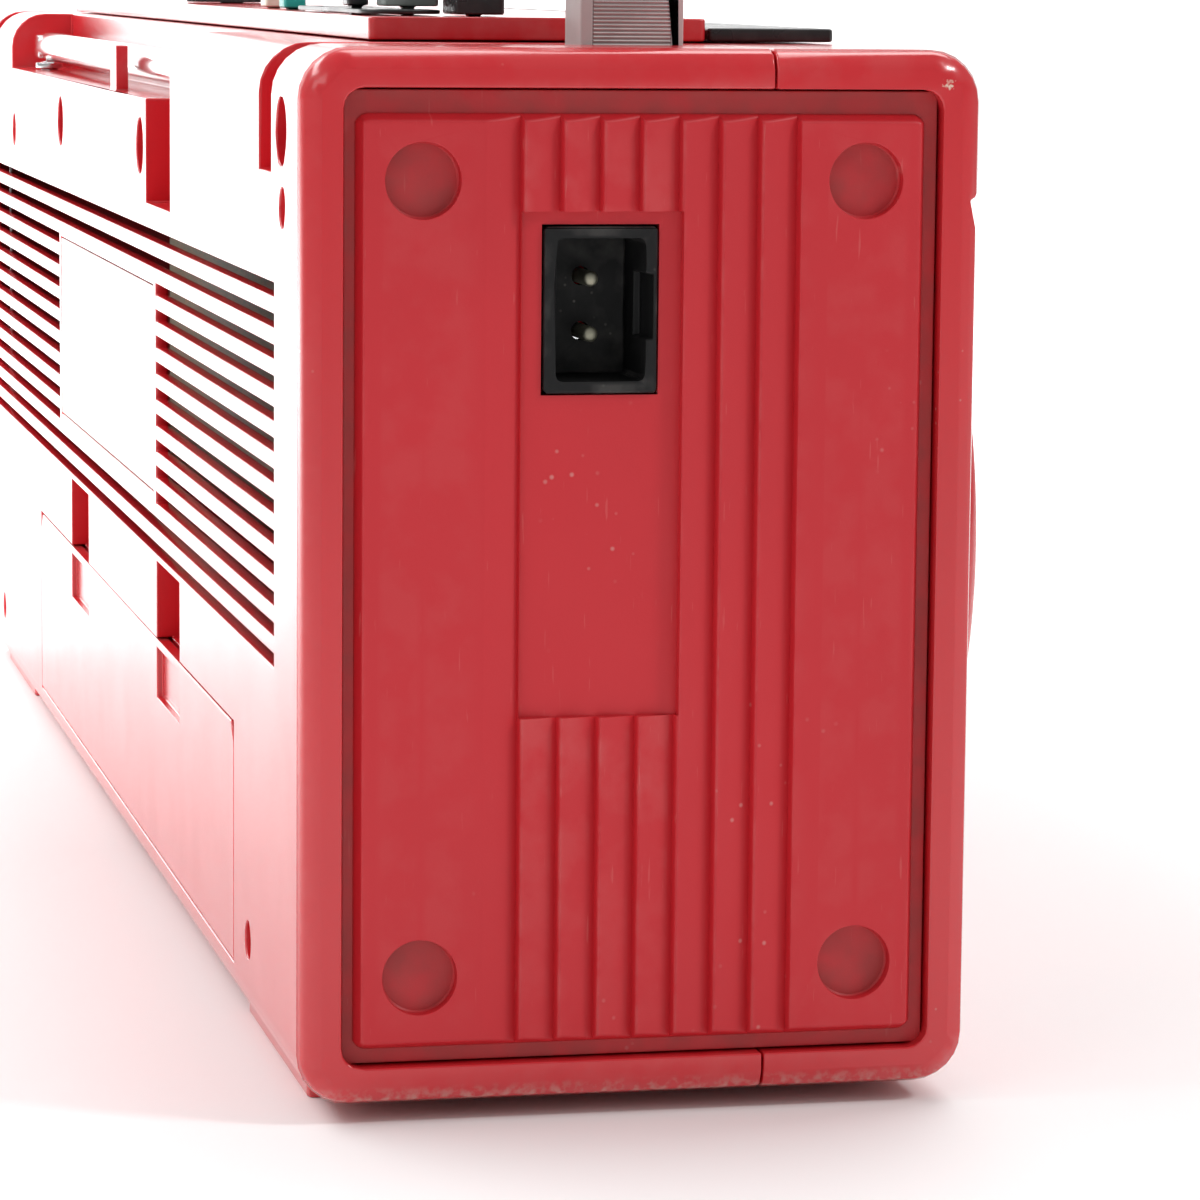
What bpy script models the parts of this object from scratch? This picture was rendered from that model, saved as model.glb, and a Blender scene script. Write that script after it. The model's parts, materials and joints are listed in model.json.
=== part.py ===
"""Portable radio cassette player, modelled at its real size in metres.

X runs along the case, with the AC inlet on the -X end. The front faces -Y and +Z is up.
The origin lies under the middle of the whole object, on the surface that it stands on.
"""

import math

import bmesh
import bpy
from mathutils import Matrix, Vector

# ---------------------------------------------------------------- driving dimensions
CASE_W = 0.534
CASE_D = 0.107
CASE_H = 0.163
FOOT_H = 0.003
GRILLE_RISE = 0.005
SEAM_FROM_REAR = 0.0735
WALL = 0.0025
POCKET_WALL = 0.0018
GAP = 0.0003
PAST = 0.002

CORNER_R = 0.008
END_BEVEL = 0.0032
END_WALL = 0.006
PANEL_HALF_Y = 0.0469
PANEL_HALF_Z = 0.0754

END = CASE_W / 2
REAR = (CASE_D + GRILLE_RISE) / 2
FRONT = REAR - CASE_D
BOTTOM = FOOT_H
TOP = BOTTOM + CASE_H
MID_Y = (REAR + FRONT) / 2
MID_Z = (TOP + BOTTOM) / 2
SEAM = REAR - SEAM_FROM_REAR
FACE = FRONT + 0.0005

HANDLE_Y = -0.0018
HANDLE_Z = TOP - 0.010
HANDLE_REACH = 0.070
ARM_IN = 0.2245
ARM_OUT = 0.2365
ARM_R = 0.0084
SLOT_CLEAR = 0.0005
SLOT_DEPTH = 0.020
PIN_R = 0.003

RECESS_X = (-0.1133, 0.1836)
RECESS_D = 0.0145
RECESS_H = 0.013
ROD_Y = REAR - 0.0070
ROD_Z = TOP - RECESS_H + 0.0055
ROD_R = 0.0033
POST_X = 0.165
NOTCH_X = (-0.1133, -0.0777)
NOTCH_Z = MID_Z + 0.0489
NOTCH_D = 0.011

LOUVRE_X = 0.2403
LOUVRE_TOP = MID_Z + 0.0432
LOUVRE_PITCH = 0.00488
LOUVRE_H = 0.0021
LOUVRES = 13
FULL_LOUVRES = (0, 1, 11, 12)
PLATE_X = (-0.0886, 0.0745)
PLATE_Z = (MID_Z - 0.005, MID_Z + 0.034)

COVER_X = (-0.1953, 0.1206)
COVER_Z = (BOTTOM + 0.0085, MID_Z - 0.032)
COVER_T = 0.003
BAY_LEDGE = 0.004
BAY_D = 0.040
LATCH_X = (-0.109, 0.0385)
LATCH_HALF = 0.0165
LATCH_RISE = 0.0145
LATCH_D = 0.0085
LATCH_DROP = 0.011

WELLS = ((-0.2474, 0.0682), (-0.0682, 0.0593), (0.0745, 0.0593), (0.2474, 0.0682))
WELL_R = 0.0054
WELL_D = 0.010

DECK_HALF = 0.217
DECK_Y = (-0.0187, 0.0371)
DECK_H = 0.004
STRIP_Y = (-0.0401, -0.0190)
STRIP_H = 0.0025
KEYS = ("record_key", "play_key", "rewind_key", "forward_key", "stop_key", "pause_key")
KEY_PITCH = 0.0245
KEY_W = 0.0228
KEY_Y = (-0.0366, -0.0226)

SPEAKER_X = 0.201
SPEAKER_Z = 0.087
GRILLE_R = 0.054
CONE_HOLE_R = 0.046

DOOR_HALF = 0.065
DOOR_Z = (0.0345, 0.1170)
DOOR_PIVOT = Vector((0, FRONT + 0.001, 0.036))
WINDOW_HALF = 0.046
WINDOW_Z = (0.052, 0.100)
DIAL_HALF = 0.152
DIAL_Z = (TOP - 0.0195, TOP - 0.0045)
DIAL_D = 0.0042

CHASSIS_Y = FRONT + 0.0205
REEL_X = 0.02125
REEL_Z = 0.0765
CAPSTAN = (0.0285, 0.0465)
CAPSTAN_R = 0.0012
FLYWHEEL_R = 0.022
MOTOR = (-0.036, 0.050)
PULLEY_R = 0.004
BELT_Y = FRONT + 0.0272

INLET_Y = MID_Y + 0.0068
INLET_Z = MID_Z + 0.0416
PIN_PITCH = 0.0086
DIMPLE_Y = 0.0347
DIMPLE_Z = 0.0614
DIMPLE_R = 0.00585

TURN = {
    "X": Matrix.Rotation(math.pi / 2, 4, "Y"),
    "Y": Matrix.Rotation(-math.pi / 2, 4, "X"),
    "Z": Matrix.Identity(4),
    "-Y": Matrix.Rotation(math.pi / 2, 4, "X"),
}

# ---------------------------------------------------------------- scene and materials
for old in list(bpy.data.objects):
    bpy.data.objects.remove(old, do_unlink=True)

PARTS = bpy.data.collections.new("radio_cassette_player")
CUTTERS = bpy.data.collections.new("cutters")
for collection in (PARTS, CUTTERS):
    bpy.context.scene.collection.children.link(collection)


def material(name, colour, roughness, metallic=0.0, alpha=1.0):
    mat = bpy.data.materials.new(name)
    mat.use_nodes = True
    shader = mat.node_tree.nodes["Principled BSDF"]
    shader.inputs["Base Color"].default_value = (*colour, 1.0)
    shader.inputs["Roughness"].default_value = roughness
    shader.inputs["Metallic"].default_value = metallic
    shader.inputs["Alpha"].default_value = alpha
    return mat


RED = material("red_case", (0.60, 0.02, 0.03), 0.35)
BLACK = material("black_plastic", (0.02, 0.02, 0.022), 0.45)
GREY = material("grey_plastic", (0.30, 0.29, 0.29), 0.5)
GREEN_GREY = material("green_grey_plastic", (0.22, 0.25, 0.23), 0.5)
TEAL = material("teal_plastic", (0.0, 0.38, 0.33), 0.4)
CREAM = material("cream_plastic", (0.75, 0.72, 0.62), 0.4)
CHROME = material("chrome", (0.80, 0.80, 0.80), 0.12, 1.0)
STEEL = material("steel", (0.52, 0.52, 0.54), 0.35, 1.0)
BRASS = material("brass", (0.70, 0.55, 0.28), 0.35, 1.0)
WHITE = material("white_label", (0.82, 0.82, 0.80), 0.6)
CLEAR = material("clear_window", (0.30, 0.31, 0.33), 0.08, 0.0, 0.4)
RUBBER = material("rubber", (0.03, 0.03, 0.03), 0.8)
BOARD = material("circuit_board", (0.28, 0.20, 0.07), 0.6)
POINTER = material("orange_pointer", (0.85, 0.22, 0.03), 0.5)


# ---------------------------------------------------------------- modelling helpers
def place(name, bm, mat=None):
    """Turn a bmesh into a part, or into a hidden cutter when it has no material."""
    mesh = bpy.data.meshes.new(name)
    bm.to_mesh(mesh)
    bm.free()
    obj = bpy.data.objects.new(name, mesh)
    if mat is None:
        CUTTERS.objects.link(obj)
        obj.hide_render = True
        obj.display_type = "WIRE"
    else:
        PARTS.objects.link(obj)
        mesh.materials.append(mat)
    return obj


def smooth(obj, degrees=35):
    obj.data.shade_smooth()
    obj.data.set_sharp_from_angle(angle=math.radians(degrees))
    return obj


def add_box(bm, low, high):
    low = Vector(low)
    high = Vector(high)
    verts = bmesh.ops.create_cube(bm, size=1.0)["verts"]
    bmesh.ops.scale(bm, vec=high - low, verts=verts)
    bmesh.ops.translate(bm, vec=(low + high) / 2, verts=verts)
    return verts


def block(name, low, high, mat=None, radius=0.0, along=None, segments=3):
    """A box whose edges, or only those along one axis, are rounded to a radius."""
    bm = bmesh.new()
    add_box(bm, low, high)
    if radius:
        edges = bm.edges[:]
        if along is not None:
            index = "XYZ".index(along)
            edges = [e for e in edges if abs((e.verts[0].co - e.verts[1].co)[index]) > 1e-6]
        bmesh.ops.bevel(bm, geom=edges, offset=radius, segments=segments, profile=0.5, affect="EDGES")
    return place(name, bm, mat)


def blocks(name, corners):
    """Several separate boxes as one cutter."""
    bm = bmesh.new()
    for low, high in corners:
        add_box(bm, low, high)
    return place(name, bm)


def rod(name, centre, radius, length, axis="Z", mat=None, segments=32, end_radius=None):
    bm = bmesh.new()
    bmesh.ops.create_cone(
        bm, cap_ends=True, segments=segments, depth=length,
        radius1=radius, radius2=radius if end_radius is None else end_radius)
    bmesh.ops.transform(bm, matrix=Matrix.Translation(centre) @ TURN[axis], verts=bm.verts)
    return place(name, bm, mat)


def rods(name, centres, radius, length, axis, segments=24):
    """Several separate cylinders as one cutter."""
    bm = bmesh.new()
    for centre in centres:
        made = bmesh.ops.create_cone(
            bm, cap_ends=True, segments=segments, depth=length, radius1=radius, radius2=radius)
        bmesh.ops.transform(bm, matrix=Matrix.Translation(centre) @ TURN[axis], verts=made["verts"])
    return place(name, bm)


def turned(name, profile, centre, axis, mat=None, steps=36):
    """A lathe shape. The profile lists (radius, height) from the axis, down the outside, to the axis."""
    bm = bmesh.new()
    verts = [bm.verts.new((radius, 0, height)) for radius, height in profile]
    for start, stop in zip(verts, verts[1:]):
        bm.edges.new((start, stop))
    obj = place(name, bm, mat)
    obj.matrix_world = Matrix.Translation(centre) @ TURN[axis]
    screw = obj.modifiers.new("turn", "SCREW")
    screw.steps = steps
    screw.render_steps = steps
    screw.use_merge_vertices = True
    screw.merge_threshold = 0.00002
    screw.use_smooth_shade = False
    return obj


def prism(name, outlines, thickness, frame, mat=None):
    """Flat outlines, the inner ones being holes, given a thickness and moved by a frame."""
    curve = bpy.data.curves.new(name + "_outline", "CURVE")
    curve.dimensions = "2D"
    curve.fill_mode = "BOTH"
    curve.extrude = thickness / 2
    for outline in outlines:
        spline = curve.splines.new("POLY")
        spline.points.add(len(outline) - 1)
        for point, (u, v) in zip(spline.points, outline):
            point.co = (u, v, 0, 1)
        spline.use_cyclic_u = True
    guide = bpy.data.objects.new(name + "_guide", curve)
    CUTTERS.objects.link(guide)
    graph = bpy.context.evaluated_depsgraph_get()
    mesh = bpy.data.meshes.new_from_object(guide.evaluated_get(graph))
    bpy.data.objects.remove(guide, do_unlink=True)
    bm = bmesh.new()
    bm.from_mesh(mesh)
    bmesh.ops.remove_doubles(bm, verts=bm.verts, dist=0.00001)
    bmesh.ops.recalc_face_normals(bm, faces=bm.faces)
    bmesh.ops.transform(bm, matrix=frame, verts=bm.verts)
    if frame.determinant() < 0:
        bmesh.ops.reverse_faces(bm, faces=bm.faces)
    return place(name, bm, mat)


def boolean(target, operation, tools):
    for tool in tools:
        step = target.modifiers.new(tool.name, "BOOLEAN")
        step.operation = operation
        step.solver = "EXACT"
        step.object = tool
    return target


def cut(target, *tools):
    return boolean(target, "DIFFERENCE", tools)


def join(target, *tools):
    return boolean(target, "UNION", tools)


def set_origin(obj, point):
    obj.data.transform(Matrix.Translation(-Vector(point)))
    obj.location = point
    return obj


def pivot(name, point, children):
    """An empty on a joint's axis that carries the pieces of one moving body."""
    empty = bpy.data.objects.new(name, None)
    empty.location = point
    PARTS.objects.link(empty)
    for child in children:
        child.parent = empty
        child.matrix_parent_inverse = Matrix.Translation(-Vector(point))
    return empty


def arc(centre, radius, start, stop, count):
    """Points on an arc, with the angles in degrees."""
    angles = [math.radians(start + (stop - start) * i / count) for i in range(count + 1)]
    return [(centre[0] + radius * math.cos(a), centre[1] + radius * math.sin(a)) for a in angles]


# ---------------------------------------------------------------- case
def case_solid(name, mat=None):
    """The outer form: a long box with rounded long edges and a bevel round each end."""
    bm = bmesh.new()
    add_box(bm, (-END, FRONT, BOTTOM), (END, REAR, TOP))
    long_edges = [e for e in bm.edges if abs(e.verts[0].co.x - e.verts[1].co.x) > END]
    bmesh.ops.bevel(bm, geom=long_edges, offset=CORNER_R, segments=6, profile=0.5, affect="EDGES")
    rim = [e for e in bm.edges if abs(abs(e.verts[0].co.x + e.verts[1].co.x) / 2 - END) < 1e-6]
    bmesh.ops.bevel(bm, geom=rim, offset=END_BEVEL, segments=2, profile=0.5, affect="EDGES")
    return place(name, bm, mat)


def cavity():
    """The hollow of the case, less the walls of every pocket that is sunk into it."""
    inside = block(
        "cavity", (-END + END_WALL, FRONT + WALL, BOTTOM + WALL), (END - END_WALL, REAR - WALL, TOP - WALL),
        radius=CORNER_R - WALL, along="X", segments=4)
    wall = POCKET_WALL
    walls = []
    for side in (-1, 1):
        low_x, high_x = sorted((side * (ARM_IN - SLOT_CLEAR - wall), side * (ARM_OUT + SLOT_CLEAR + wall)))
        walls.append(block(
            f"slot_walls_{side}", (low_x, HANDLE_Y - ARM_R - 0.001 - wall, TOP - SLOT_DEPTH - wall),
            (high_x, REAR + PAST, TOP + PAST)))
    walls.append(block(
        "recess_walls", (RECESS_X[0] - wall, REAR - RECESS_D - wall, TOP - RECESS_H - wall),
        (RECESS_X[1] + wall, REAR + PAST, TOP + PAST)))
    walls.append(block(
        "notch_walls", (NOTCH_X[0] - wall, REAR - NOTCH_D - wall, NOTCH_Z - wall),
        (NOTCH_X[1] + wall, REAR + PAST, TOP - RECESS_H)))
    walls.append(block(
        "bay_walls", (COVER_X[0] - wall, REAR - BAY_D - wall, BOTTOM - PAST),
        (COVER_X[1] + wall, REAR + PAST, COVER_Z[1] + wall)))
    for x in LATCH_X:
        walls.append(block(
            f"latch_walls_{x}", (x - LATCH_HALF - wall, REAR - LATCH_D - wall, COVER_Z[1] - PAST),
            (x + LATCH_HALF + wall, REAR + PAST, COVER_Z[1] + LATCH_RISE + wall)))
    walls.append(rods(
        "well_walls", [(x, REAR - (WELL_D + wall) / 2, MID_Z + z) for x, z in WELLS],
        WELL_R + wall, WELL_D + wall, "Y"))
    walls.append(block(
        "dial_walls", (-DIAL_HALF - wall, FRONT, DIAL_Z[0] - wall),
        (DIAL_HALF + wall, FRONT + DIAL_D + wall, TOP)))
    return cut(inside, *walls)


def end_opening(side):
    """The opening in one end that the end panel fills."""
    low_x, high_x = sorted((side * (END + PAST), side * (END - END_WALL - PAST)))
    return block(
        f"end_opening_{side}", (low_x, MID_Y - PANEL_HALF_Y, MID_Z - PANEL_HALF_Z),
        (high_x, MID_Y + PANEL_HALF_Y, MID_Z + PANEL_HALF_Z), radius=0.0032, along="X", segments=4)


def louvres():
    corners = []
    for row in range(LOUVRES):
        z = LOUVRE_TOP - row * LOUVRE_PITCH
        spans = [(-LOUVRE_X, LOUVRE_X)]
        if row not in FULL_LOUVRES:
            spans = [(-LOUVRE_X, PLATE_X[0] - 0.003), (PLATE_X[1] + 0.003, LOUVRE_X)]
        for left, right in spans:
            corners.append((
                (left, REAR - WALL - PAST, z - LOUVRE_H / 2), (right, REAR + PAST, z + LOUVRE_H / 2)))
    return blocks("louvres", corners)


def handle_slot(side):
    low_x, high_x = sorted((side * (ARM_IN - SLOT_CLEAR), side * (ARM_OUT + SLOT_CLEAR)))
    return block(
        f"handle_slot_{side}", (low_x, HANDLE_Y - ARM_R - 0.001, TOP - SLOT_DEPTH),
        (high_x, REAR + PAST, TOP + PAST))


def rear_shell(hollow, ends):
    shell = case_solid("rear_shell", RED)
    tools = [
        block("front_half", (-END - PAST, FRONT - PAST, BOTTOM - PAST), (END + PAST, SEAM, TOP + PAST)),
        hollow, *ends, handle_slot(-1), handle_slot(1),
        rods("pin_holes", [(side * (ARM_IN + ARM_OUT) / 2, HANDLE_Y, HANDLE_Z) for side in (-1, 1)],
             PIN_R + GAP, ARM_OUT - ARM_IN + 0.005, "X"),
        block("antenna_recess", (RECESS_X[0], REAR - RECESS_D, TOP - RECESS_H),
              (RECESS_X[1], REAR + PAST, TOP + PAST)),
        block("finger_notch", (NOTCH_X[0], REAR - NOTCH_D, NOTCH_Z),
              (NOTCH_X[1], REAR + PAST, TOP - RECESS_H + PAST)),
        louvres(),
        block("plate_recess", (PLATE_X[0], REAR - 0.001, PLATE_Z[0]),
              (PLATE_X[1], REAR + PAST, PLATE_Z[1])),
        block("cover_recess", (COVER_X[0], REAR - COVER_T, COVER_Z[0]),
              (COVER_X[1], REAR + PAST, COVER_Z[1])),
        block("battery_bay", (COVER_X[0] + BAY_LEDGE, REAR - BAY_D, COVER_Z[0] + BAY_LEDGE),
              (COVER_X[1] - BAY_LEDGE, REAR, COVER_Z[1] - BAY_LEDGE)),
        blocks("latch_recesses", [
            ((x - LATCH_HALF, REAR - LATCH_D, COVER_Z[1]),
             (x + LATCH_HALF, REAR + PAST, COVER_Z[1] + LATCH_RISE)) for x in LATCH_X]),
        rods("wells", [(x, REAR - WELL_D / 2 + 0.001, MID_Z + z) for x, z in WELLS],
             WELL_R, WELL_D + 0.002, "Y"),
        rods("screw_holes", [(x, REAR - WELL_D, MID_Z + z) for x, z in WELLS], 0.0021, 0.008, "Y", 16),
        rods("small_wells", [(side * 0.2485, REAR, MID_Z + 0.0564) for side in (-1, 1)]
             + [(side * 0.2117, REAR, MID_Z - 0.0659) for side in (-1, 1)], 0.0032, 0.004, "Y", 20),
        rods("jack_hole", [(0.1797, REAR, MID_Z + 0.0539)], 0.004, 0.004, "Y", 20),
        rods("post_hole", [(POST_X, ROD_Y, TOP - RECESS_H)], 0.0023, 0.008, "Z", 20),
    ]
    cut(shell, *tools)
    join(shell, block(
        "rod_tab", (-0.028, REAR - 0.0027, TOP - RECESS_H - 0.0005),
        (-0.018, REAR - GAP, TOP - RECESS_H + 0.009)))
    return smooth(shell)


def front_shell(hollow, ends):
    shell = case_solid("front_shell", RED)
    step = [
        (FRONT - PAST, TOP - 0.0213), (FRONT + 0.0018, TOP - 0.0232), (FACE, TOP - 0.0287),
        (FACE, BOTTOM - PAST), (FRONT - PAST, BOTTOM - PAST)]
    along_x = Matrix(((0, 0, 1, 0), (1, 0, 0, 0), (0, 1, 0, 0), (0, 0, 0, 1)))
    cut(shell,
        block("rear_half", (-END - PAST, SEAM - GAP, BOTTOM - PAST), (END + PAST, REAR + PAST, TOP + PAST)),
        hollow, *ends,
        prism("front_step", [step], CASE_W + 2 * PAST, along_x),
        rods("cone_holes", [(side * SPEAKER_X, FRONT, SPEAKER_Z) for side in (-1, 1)],
             CONE_HOLE_R, 0.012, "Y", 40),
        block("door_opening", (-DOOR_HALF - 0.0008, FRONT - PAST, DOOR_Z[0] - 0.002),
              (DOOR_HALF + 0.0008, FRONT + 0.006, DOOR_Z[1] + 0.001)),
        block("dial_recess", (-DIAL_HALF, FRONT - PAST, DIAL_Z[0]), (DIAL_HALF, FRONT + DIAL_D, DIAL_Z[1])),
        rods("tuning_hole", [(0.185, FRONT, TOP - 0.0115)], 0.0024, 0.012, "Y", 20),
        block("key_opening", (-3 * KEY_PITCH, KEY_Y[0] - 0.0005, TOP - 0.006),
              (3 * KEY_PITCH, KEY_Y[1] + 0.0005, TOP + PAST)))
    return smooth(shell)


# ---------------------------------------------------------------- end panels
RIBS = 7
RIB_PITCH = 0.0062
RIB_START = 0.0190
RIB_SLOPE = ((0.0, 1.0), (0.30, 0.84), (0.58, 0.53), (0.80, 0.23), (0.97, 0.06))
PAD_EDGES = (0.0446, -0.0437)
PAD_TALL = 0.1430
PAD_DROP = 0.0007
PAD_TOP = 0.0024
LOW_TOP = 0.0006
PANEL_FLOOR = END - 0.0025


def rib_outline():
    """Height of the end panel's face along Y: pad, eight slopes that overlap like tiles, pad."""
    points = [(PAD_EDGES[0], -0.001), (PAD_EDGES[0], PAD_TOP)]
    rise = PAD_TOP - LOW_TOP
    for slope in range(RIBS + 1):
        start = RIB_START + (1 - slope) * RIB_PITCH
        for along, height in RIB_SLOPE:
            points.append((start - along * RIB_PITCH, LOW_TOP + rise * height))
    points += [(start - RIB_PITCH, PAD_TOP), (PAD_EDGES[1], PAD_TOP), (PAD_EDGES[1], -0.001)]
    return points


def end_panel(name, side, with_inlet):
    """A ribbed cover that fills one end and is trapped behind the rim by its flange."""
    def span(near, far):
        return sorted((side * near, side * far))

    floor_x = span(PANEL_FLOOR, END - END_WALL - 0.0006)
    flange_x = span(END - END_WALL - GAP, END - END_WALL - 0.0025)
    panel = block(
        name, (floor_x[0], MID_Y - PANEL_HALF_Y + GAP, MID_Z - PANEL_HALF_Z + GAP),
        (floor_x[1], MID_Y + PANEL_HALF_Y - GAP, MID_Z + PANEL_HALF_Z - GAP), RED,
        radius=0.0030, along="X", segments=4)
    flange = block(
        name + "_flange", (flange_x[0], MID_Y - 0.0490, MID_Z - 0.0770),
        (flange_x[1], MID_Y + 0.0490, MID_Z + 0.0770), radius=0.006, along="X")
    upright = Matrix(((0, side, 0, side * PANEL_FLOOR), (1, 0, 0, MID_Y), (0, 0, 1, MID_Z - PAD_DROP), (0, 0, 0, 1)))
    face = prism(name + "_face", [rib_outline()], PAD_TALL, upright)
    join(panel, flange, face)
    low_face = PANEL_FLOOR + LOW_TOP
    dimples = rods(
        name + "_dimples",
        [(side * (low_face + 0.005), MID_Y + y * DIMPLE_Y, MID_Z + z * DIMPLE_Z)
         for y in (-1, 1) for z in (-1, 1)], DIMPLE_R, 0.010, "X")
    cut(panel, dimples)
    if with_inlet:
        window = span(low_face, END + PAST)
        hole = span(END + PAST, END - END_WALL - 0.005)
        cut(panel,
            block(name + "_window", (window[0], MID_Y - 0.0059, MID_Z - 0.0214),
                  (window[1], MID_Y + 0.0193, MID_Z + 0.0567)),
            block(name + "_hole", (hole[0], INLET_Y - 0.0092, INLET_Z - 0.0131),
                  (hole[1], INLET_Y + 0.0092, INLET_Z + 0.0131)))
    return smooth(panel)


def ac_inlet():
    """The socket's housing, with its well and two holes for the contact pins."""
    mouth = -END + 0.0012
    floor = -END + 0.0160
    housing = block(
        "ac_inlet", (mouth, INLET_Y - 0.0089, INLET_Z - 0.0128),
        (floor + 0.003, INLET_Y + 0.0089, INLET_Z + 0.0128), BLACK, radius=0.0006, along="X", segments=1)
    pins = [(floor + 0.0015, INLET_Y, INLET_Z + side * PIN_PITCH / 2) for side in (-1, 1)]
    cut(housing,
        block("inlet_well", (mouth - PAST, INLET_Y - 0.0070, INLET_Z - 0.0110),
              (floor, INLET_Y + 0.0070, INLET_Z + 0.0110), radius=0.001, along="X", segments=2),
        block("inlet_key", (mouth - PAST, INLET_Y - 0.0082, INLET_Z - 0.0045),
              (mouth + 0.009, INLET_Y - 0.0060, INLET_Z + 0.0055)),
        rods("pin_passages", pins, 0.0015, 0.008, "X", 20))
    for name, side in (("ac_pin_lower", -1), ("ac_pin_upper", 1)):
        centre = (-END + 0.0148, INLET_Y, INLET_Z + side * PIN_PITCH / 2)
        smooth(rod(name, centre, 0.0012, 0.0130, "X", BRASS, 20))


# ---------------------------------------------------------------- fixed outside pieces
def deck_slot(name, x, y, travel, width=0.0026):
    """The slot that a slider's stem runs in."""
    return block(
        name, (x - 0.0021, y - width / 2, TOP + 0.0008), (x + travel + 0.0021, y + width / 2, TOP + 0.01))


SLIDERS = (
    # name, x, y, size along x, size along y, height, base height, travel, material
    ("function_switch_knob", -0.2030, 0.0174, 0.012, 0.0082, 0.0095, 0.0, 0.012, BLACK),
    ("tone_slider_knob", -0.1930, 0.0266, 0.008, 0.0092, 0.0095, 0.0012, 0.040, GREEN_GREY),
    ("balance_slider_knob", -0.1850, 0.0340, 0.006, 0.0036, 0.0095, 0.0012, 0.040, BLACK),
    ("band_switch_knob", -0.1070, 0.0326, 0.007, 0.0040, 0.0080, 0.0, 0.012, TEAL),
    ("stereo_switch_knob", -0.0840, 0.0326, 0.007, 0.0040, 0.0080, 0.0, 0.012, CREAM),
)
VOLUME = (0.033, 0.0240)
VOLUME_R = 0.0095


def top_deck():
    deck = block(
        "top_deck", (-DECK_HALF, DECK_Y[0], TOP + GAP), (DECK_HALF, DECK_Y[1], TOP + DECK_H), RED,
        radius=0.0012, along="Z", segments=2)
    for name, x, y, _, _, _, _, travel, _ in SLIDERS:
        cut(deck, deck_slot(name + "_slot", x, y, travel))
    cut(deck, rod("volume_hole", (*VOLUME, TOP + 0.005), 0.0029, 0.0084, segments=24))
    return smooth(deck)


def control_plate():
    """The dark plate that the tone and balance sliders run on."""
    level = TOP + DECK_H
    plate = block(
        "control_plate", (-0.2060, 0.0226, level + GAP), (-0.1320, 0.0362, level + 0.0010), BLACK,
        radius=0.005, along="Z", segments=4)
    for name, x, y, _, _, _, base, travel, _ in SLIDERS:
        if base:
            cut(plate, deck_slot(name + "_plate_slot", x, y, travel))
    return plate


def key_strip():
    strip = block(
        "key_strip", (-DECK_HALF, STRIP_Y[0], TOP + GAP), (DECK_HALF, STRIP_Y[1], TOP + STRIP_H), BLACK,
        radius=0.0008, along="Z", segments=1)
    return cut(strip, block(
        "strip_opening", (-3 * KEY_PITCH, KEY_Y[0] - 0.0005, TOP - PAST),
        (3 * KEY_PITCH, KEY_Y[1] + 0.0005, TOP + PAST + STRIP_H)))


FOOT_X = (0.0200, 0.0850)  # each foot's span, measured in from the end of the case


def feet():
    """Four feet that wrap the case's rounded lower edges."""
    case = case_solid("case_for_feet")
    case.scale = (1.0, (CASE_D + 2 * GAP) / CASE_D, (CASE_H + 2 * GAP) / CASE_H)
    case.location = (0, MID_Y * (1 - case.scale.y), MID_Z * (1 - case.scale.z))
    depths = (("rear", REAR - 0.016, REAR - 0.0045), ("front", FRONT + 0.0050, FRONT + 0.0165))
    for depth, y_low, y_high in depths:
        for side, sign in (("left", -1), ("right", 1)):
            low_x, high_x = sorted((sign * (END - FOOT_X[0]), sign * (END - FOOT_X[1])))
            foot = block(
                f"foot_{depth}_{side}", (low_x, y_low, 0.0), (high_x, y_high, BOTTOM + 0.0055), RED,
                radius=0.0012, along="Z", segments=2)
            smooth(cut(foot, case))


def case_screws():
    """Screws at the bottom of the four deep wells."""
    profile = [
        (0.0, -0.0012), (0.0012, 0.0), (0.0026, 0.0), (0.0036, -0.0008), (0.0036, -0.0022),
        (0.0018, -0.0022), (0.0018, -0.0090), (0.0, -0.0100)]
    for number, (x, z) in enumerate(WELLS, start=1):
        turned(f"case_screw_{number}", profile, (x, REAR - WELL_D + 0.0025, MID_Z + z), "Y", STEEL, 16)


def rating_plate():
    block(
        "rating_plate", (PLATE_X[0] + GAP, REAR - 0.0007, PLATE_Z[0] + GAP),
        (PLATE_X[1] - GAP, REAR - 0.0001, PLATE_Z[1] - GAP), WHITE)


def grilles_and_speakers():
    grille = [
        (0.0, 0.0032), (0.030, 0.0029), (0.0445, 0.0022), (0.0460, 0.0047), (0.0475, 0.0052),
        (0.0500, 0.0052), (0.0524, 0.0042), (GRILLE_R, 0.0014), (GRILLE_R, 0.0), (0.0440, 0.0),
        (0.0430, 0.0008), (0.0, 0.0016)]
    driver = [
        (0.0, -0.009), (0.008, -0.011), (0.0125, -0.0170), (0.0380, -0.0045), (0.0405, -0.0018),
        (0.0440, -0.0018), (0.0460, 0.0), (0.0500, 0.0), (0.0500, -0.0020), (0.0440, -0.0040),
        (0.0240, -0.0215), (0.0225, -0.0225), (0.0225, -0.0350), (0.0, -0.0350)]
    for side, sign in (("left", -1), ("right", 1)):
        x = sign * SPEAKER_X
        turned(f"speaker_grille_{side}", grille, (x, FACE - GAP, SPEAKER_Z), "-Y", RED, 40)
        turned(f"speaker_{side}", driver, (x, FRONT + WALL + GAP, SPEAKER_Z), "-Y", RUBBER, 24)


def dial_window():
    block(
        "dial_window", (-DIAL_HALF + GAP, FRONT + 0.0002, DIAL_Z[0] + GAP),
        (DIAL_HALF - GAP, FRONT + 0.0016, DIAL_Z[1] - GAP), CLEAR)


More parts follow.
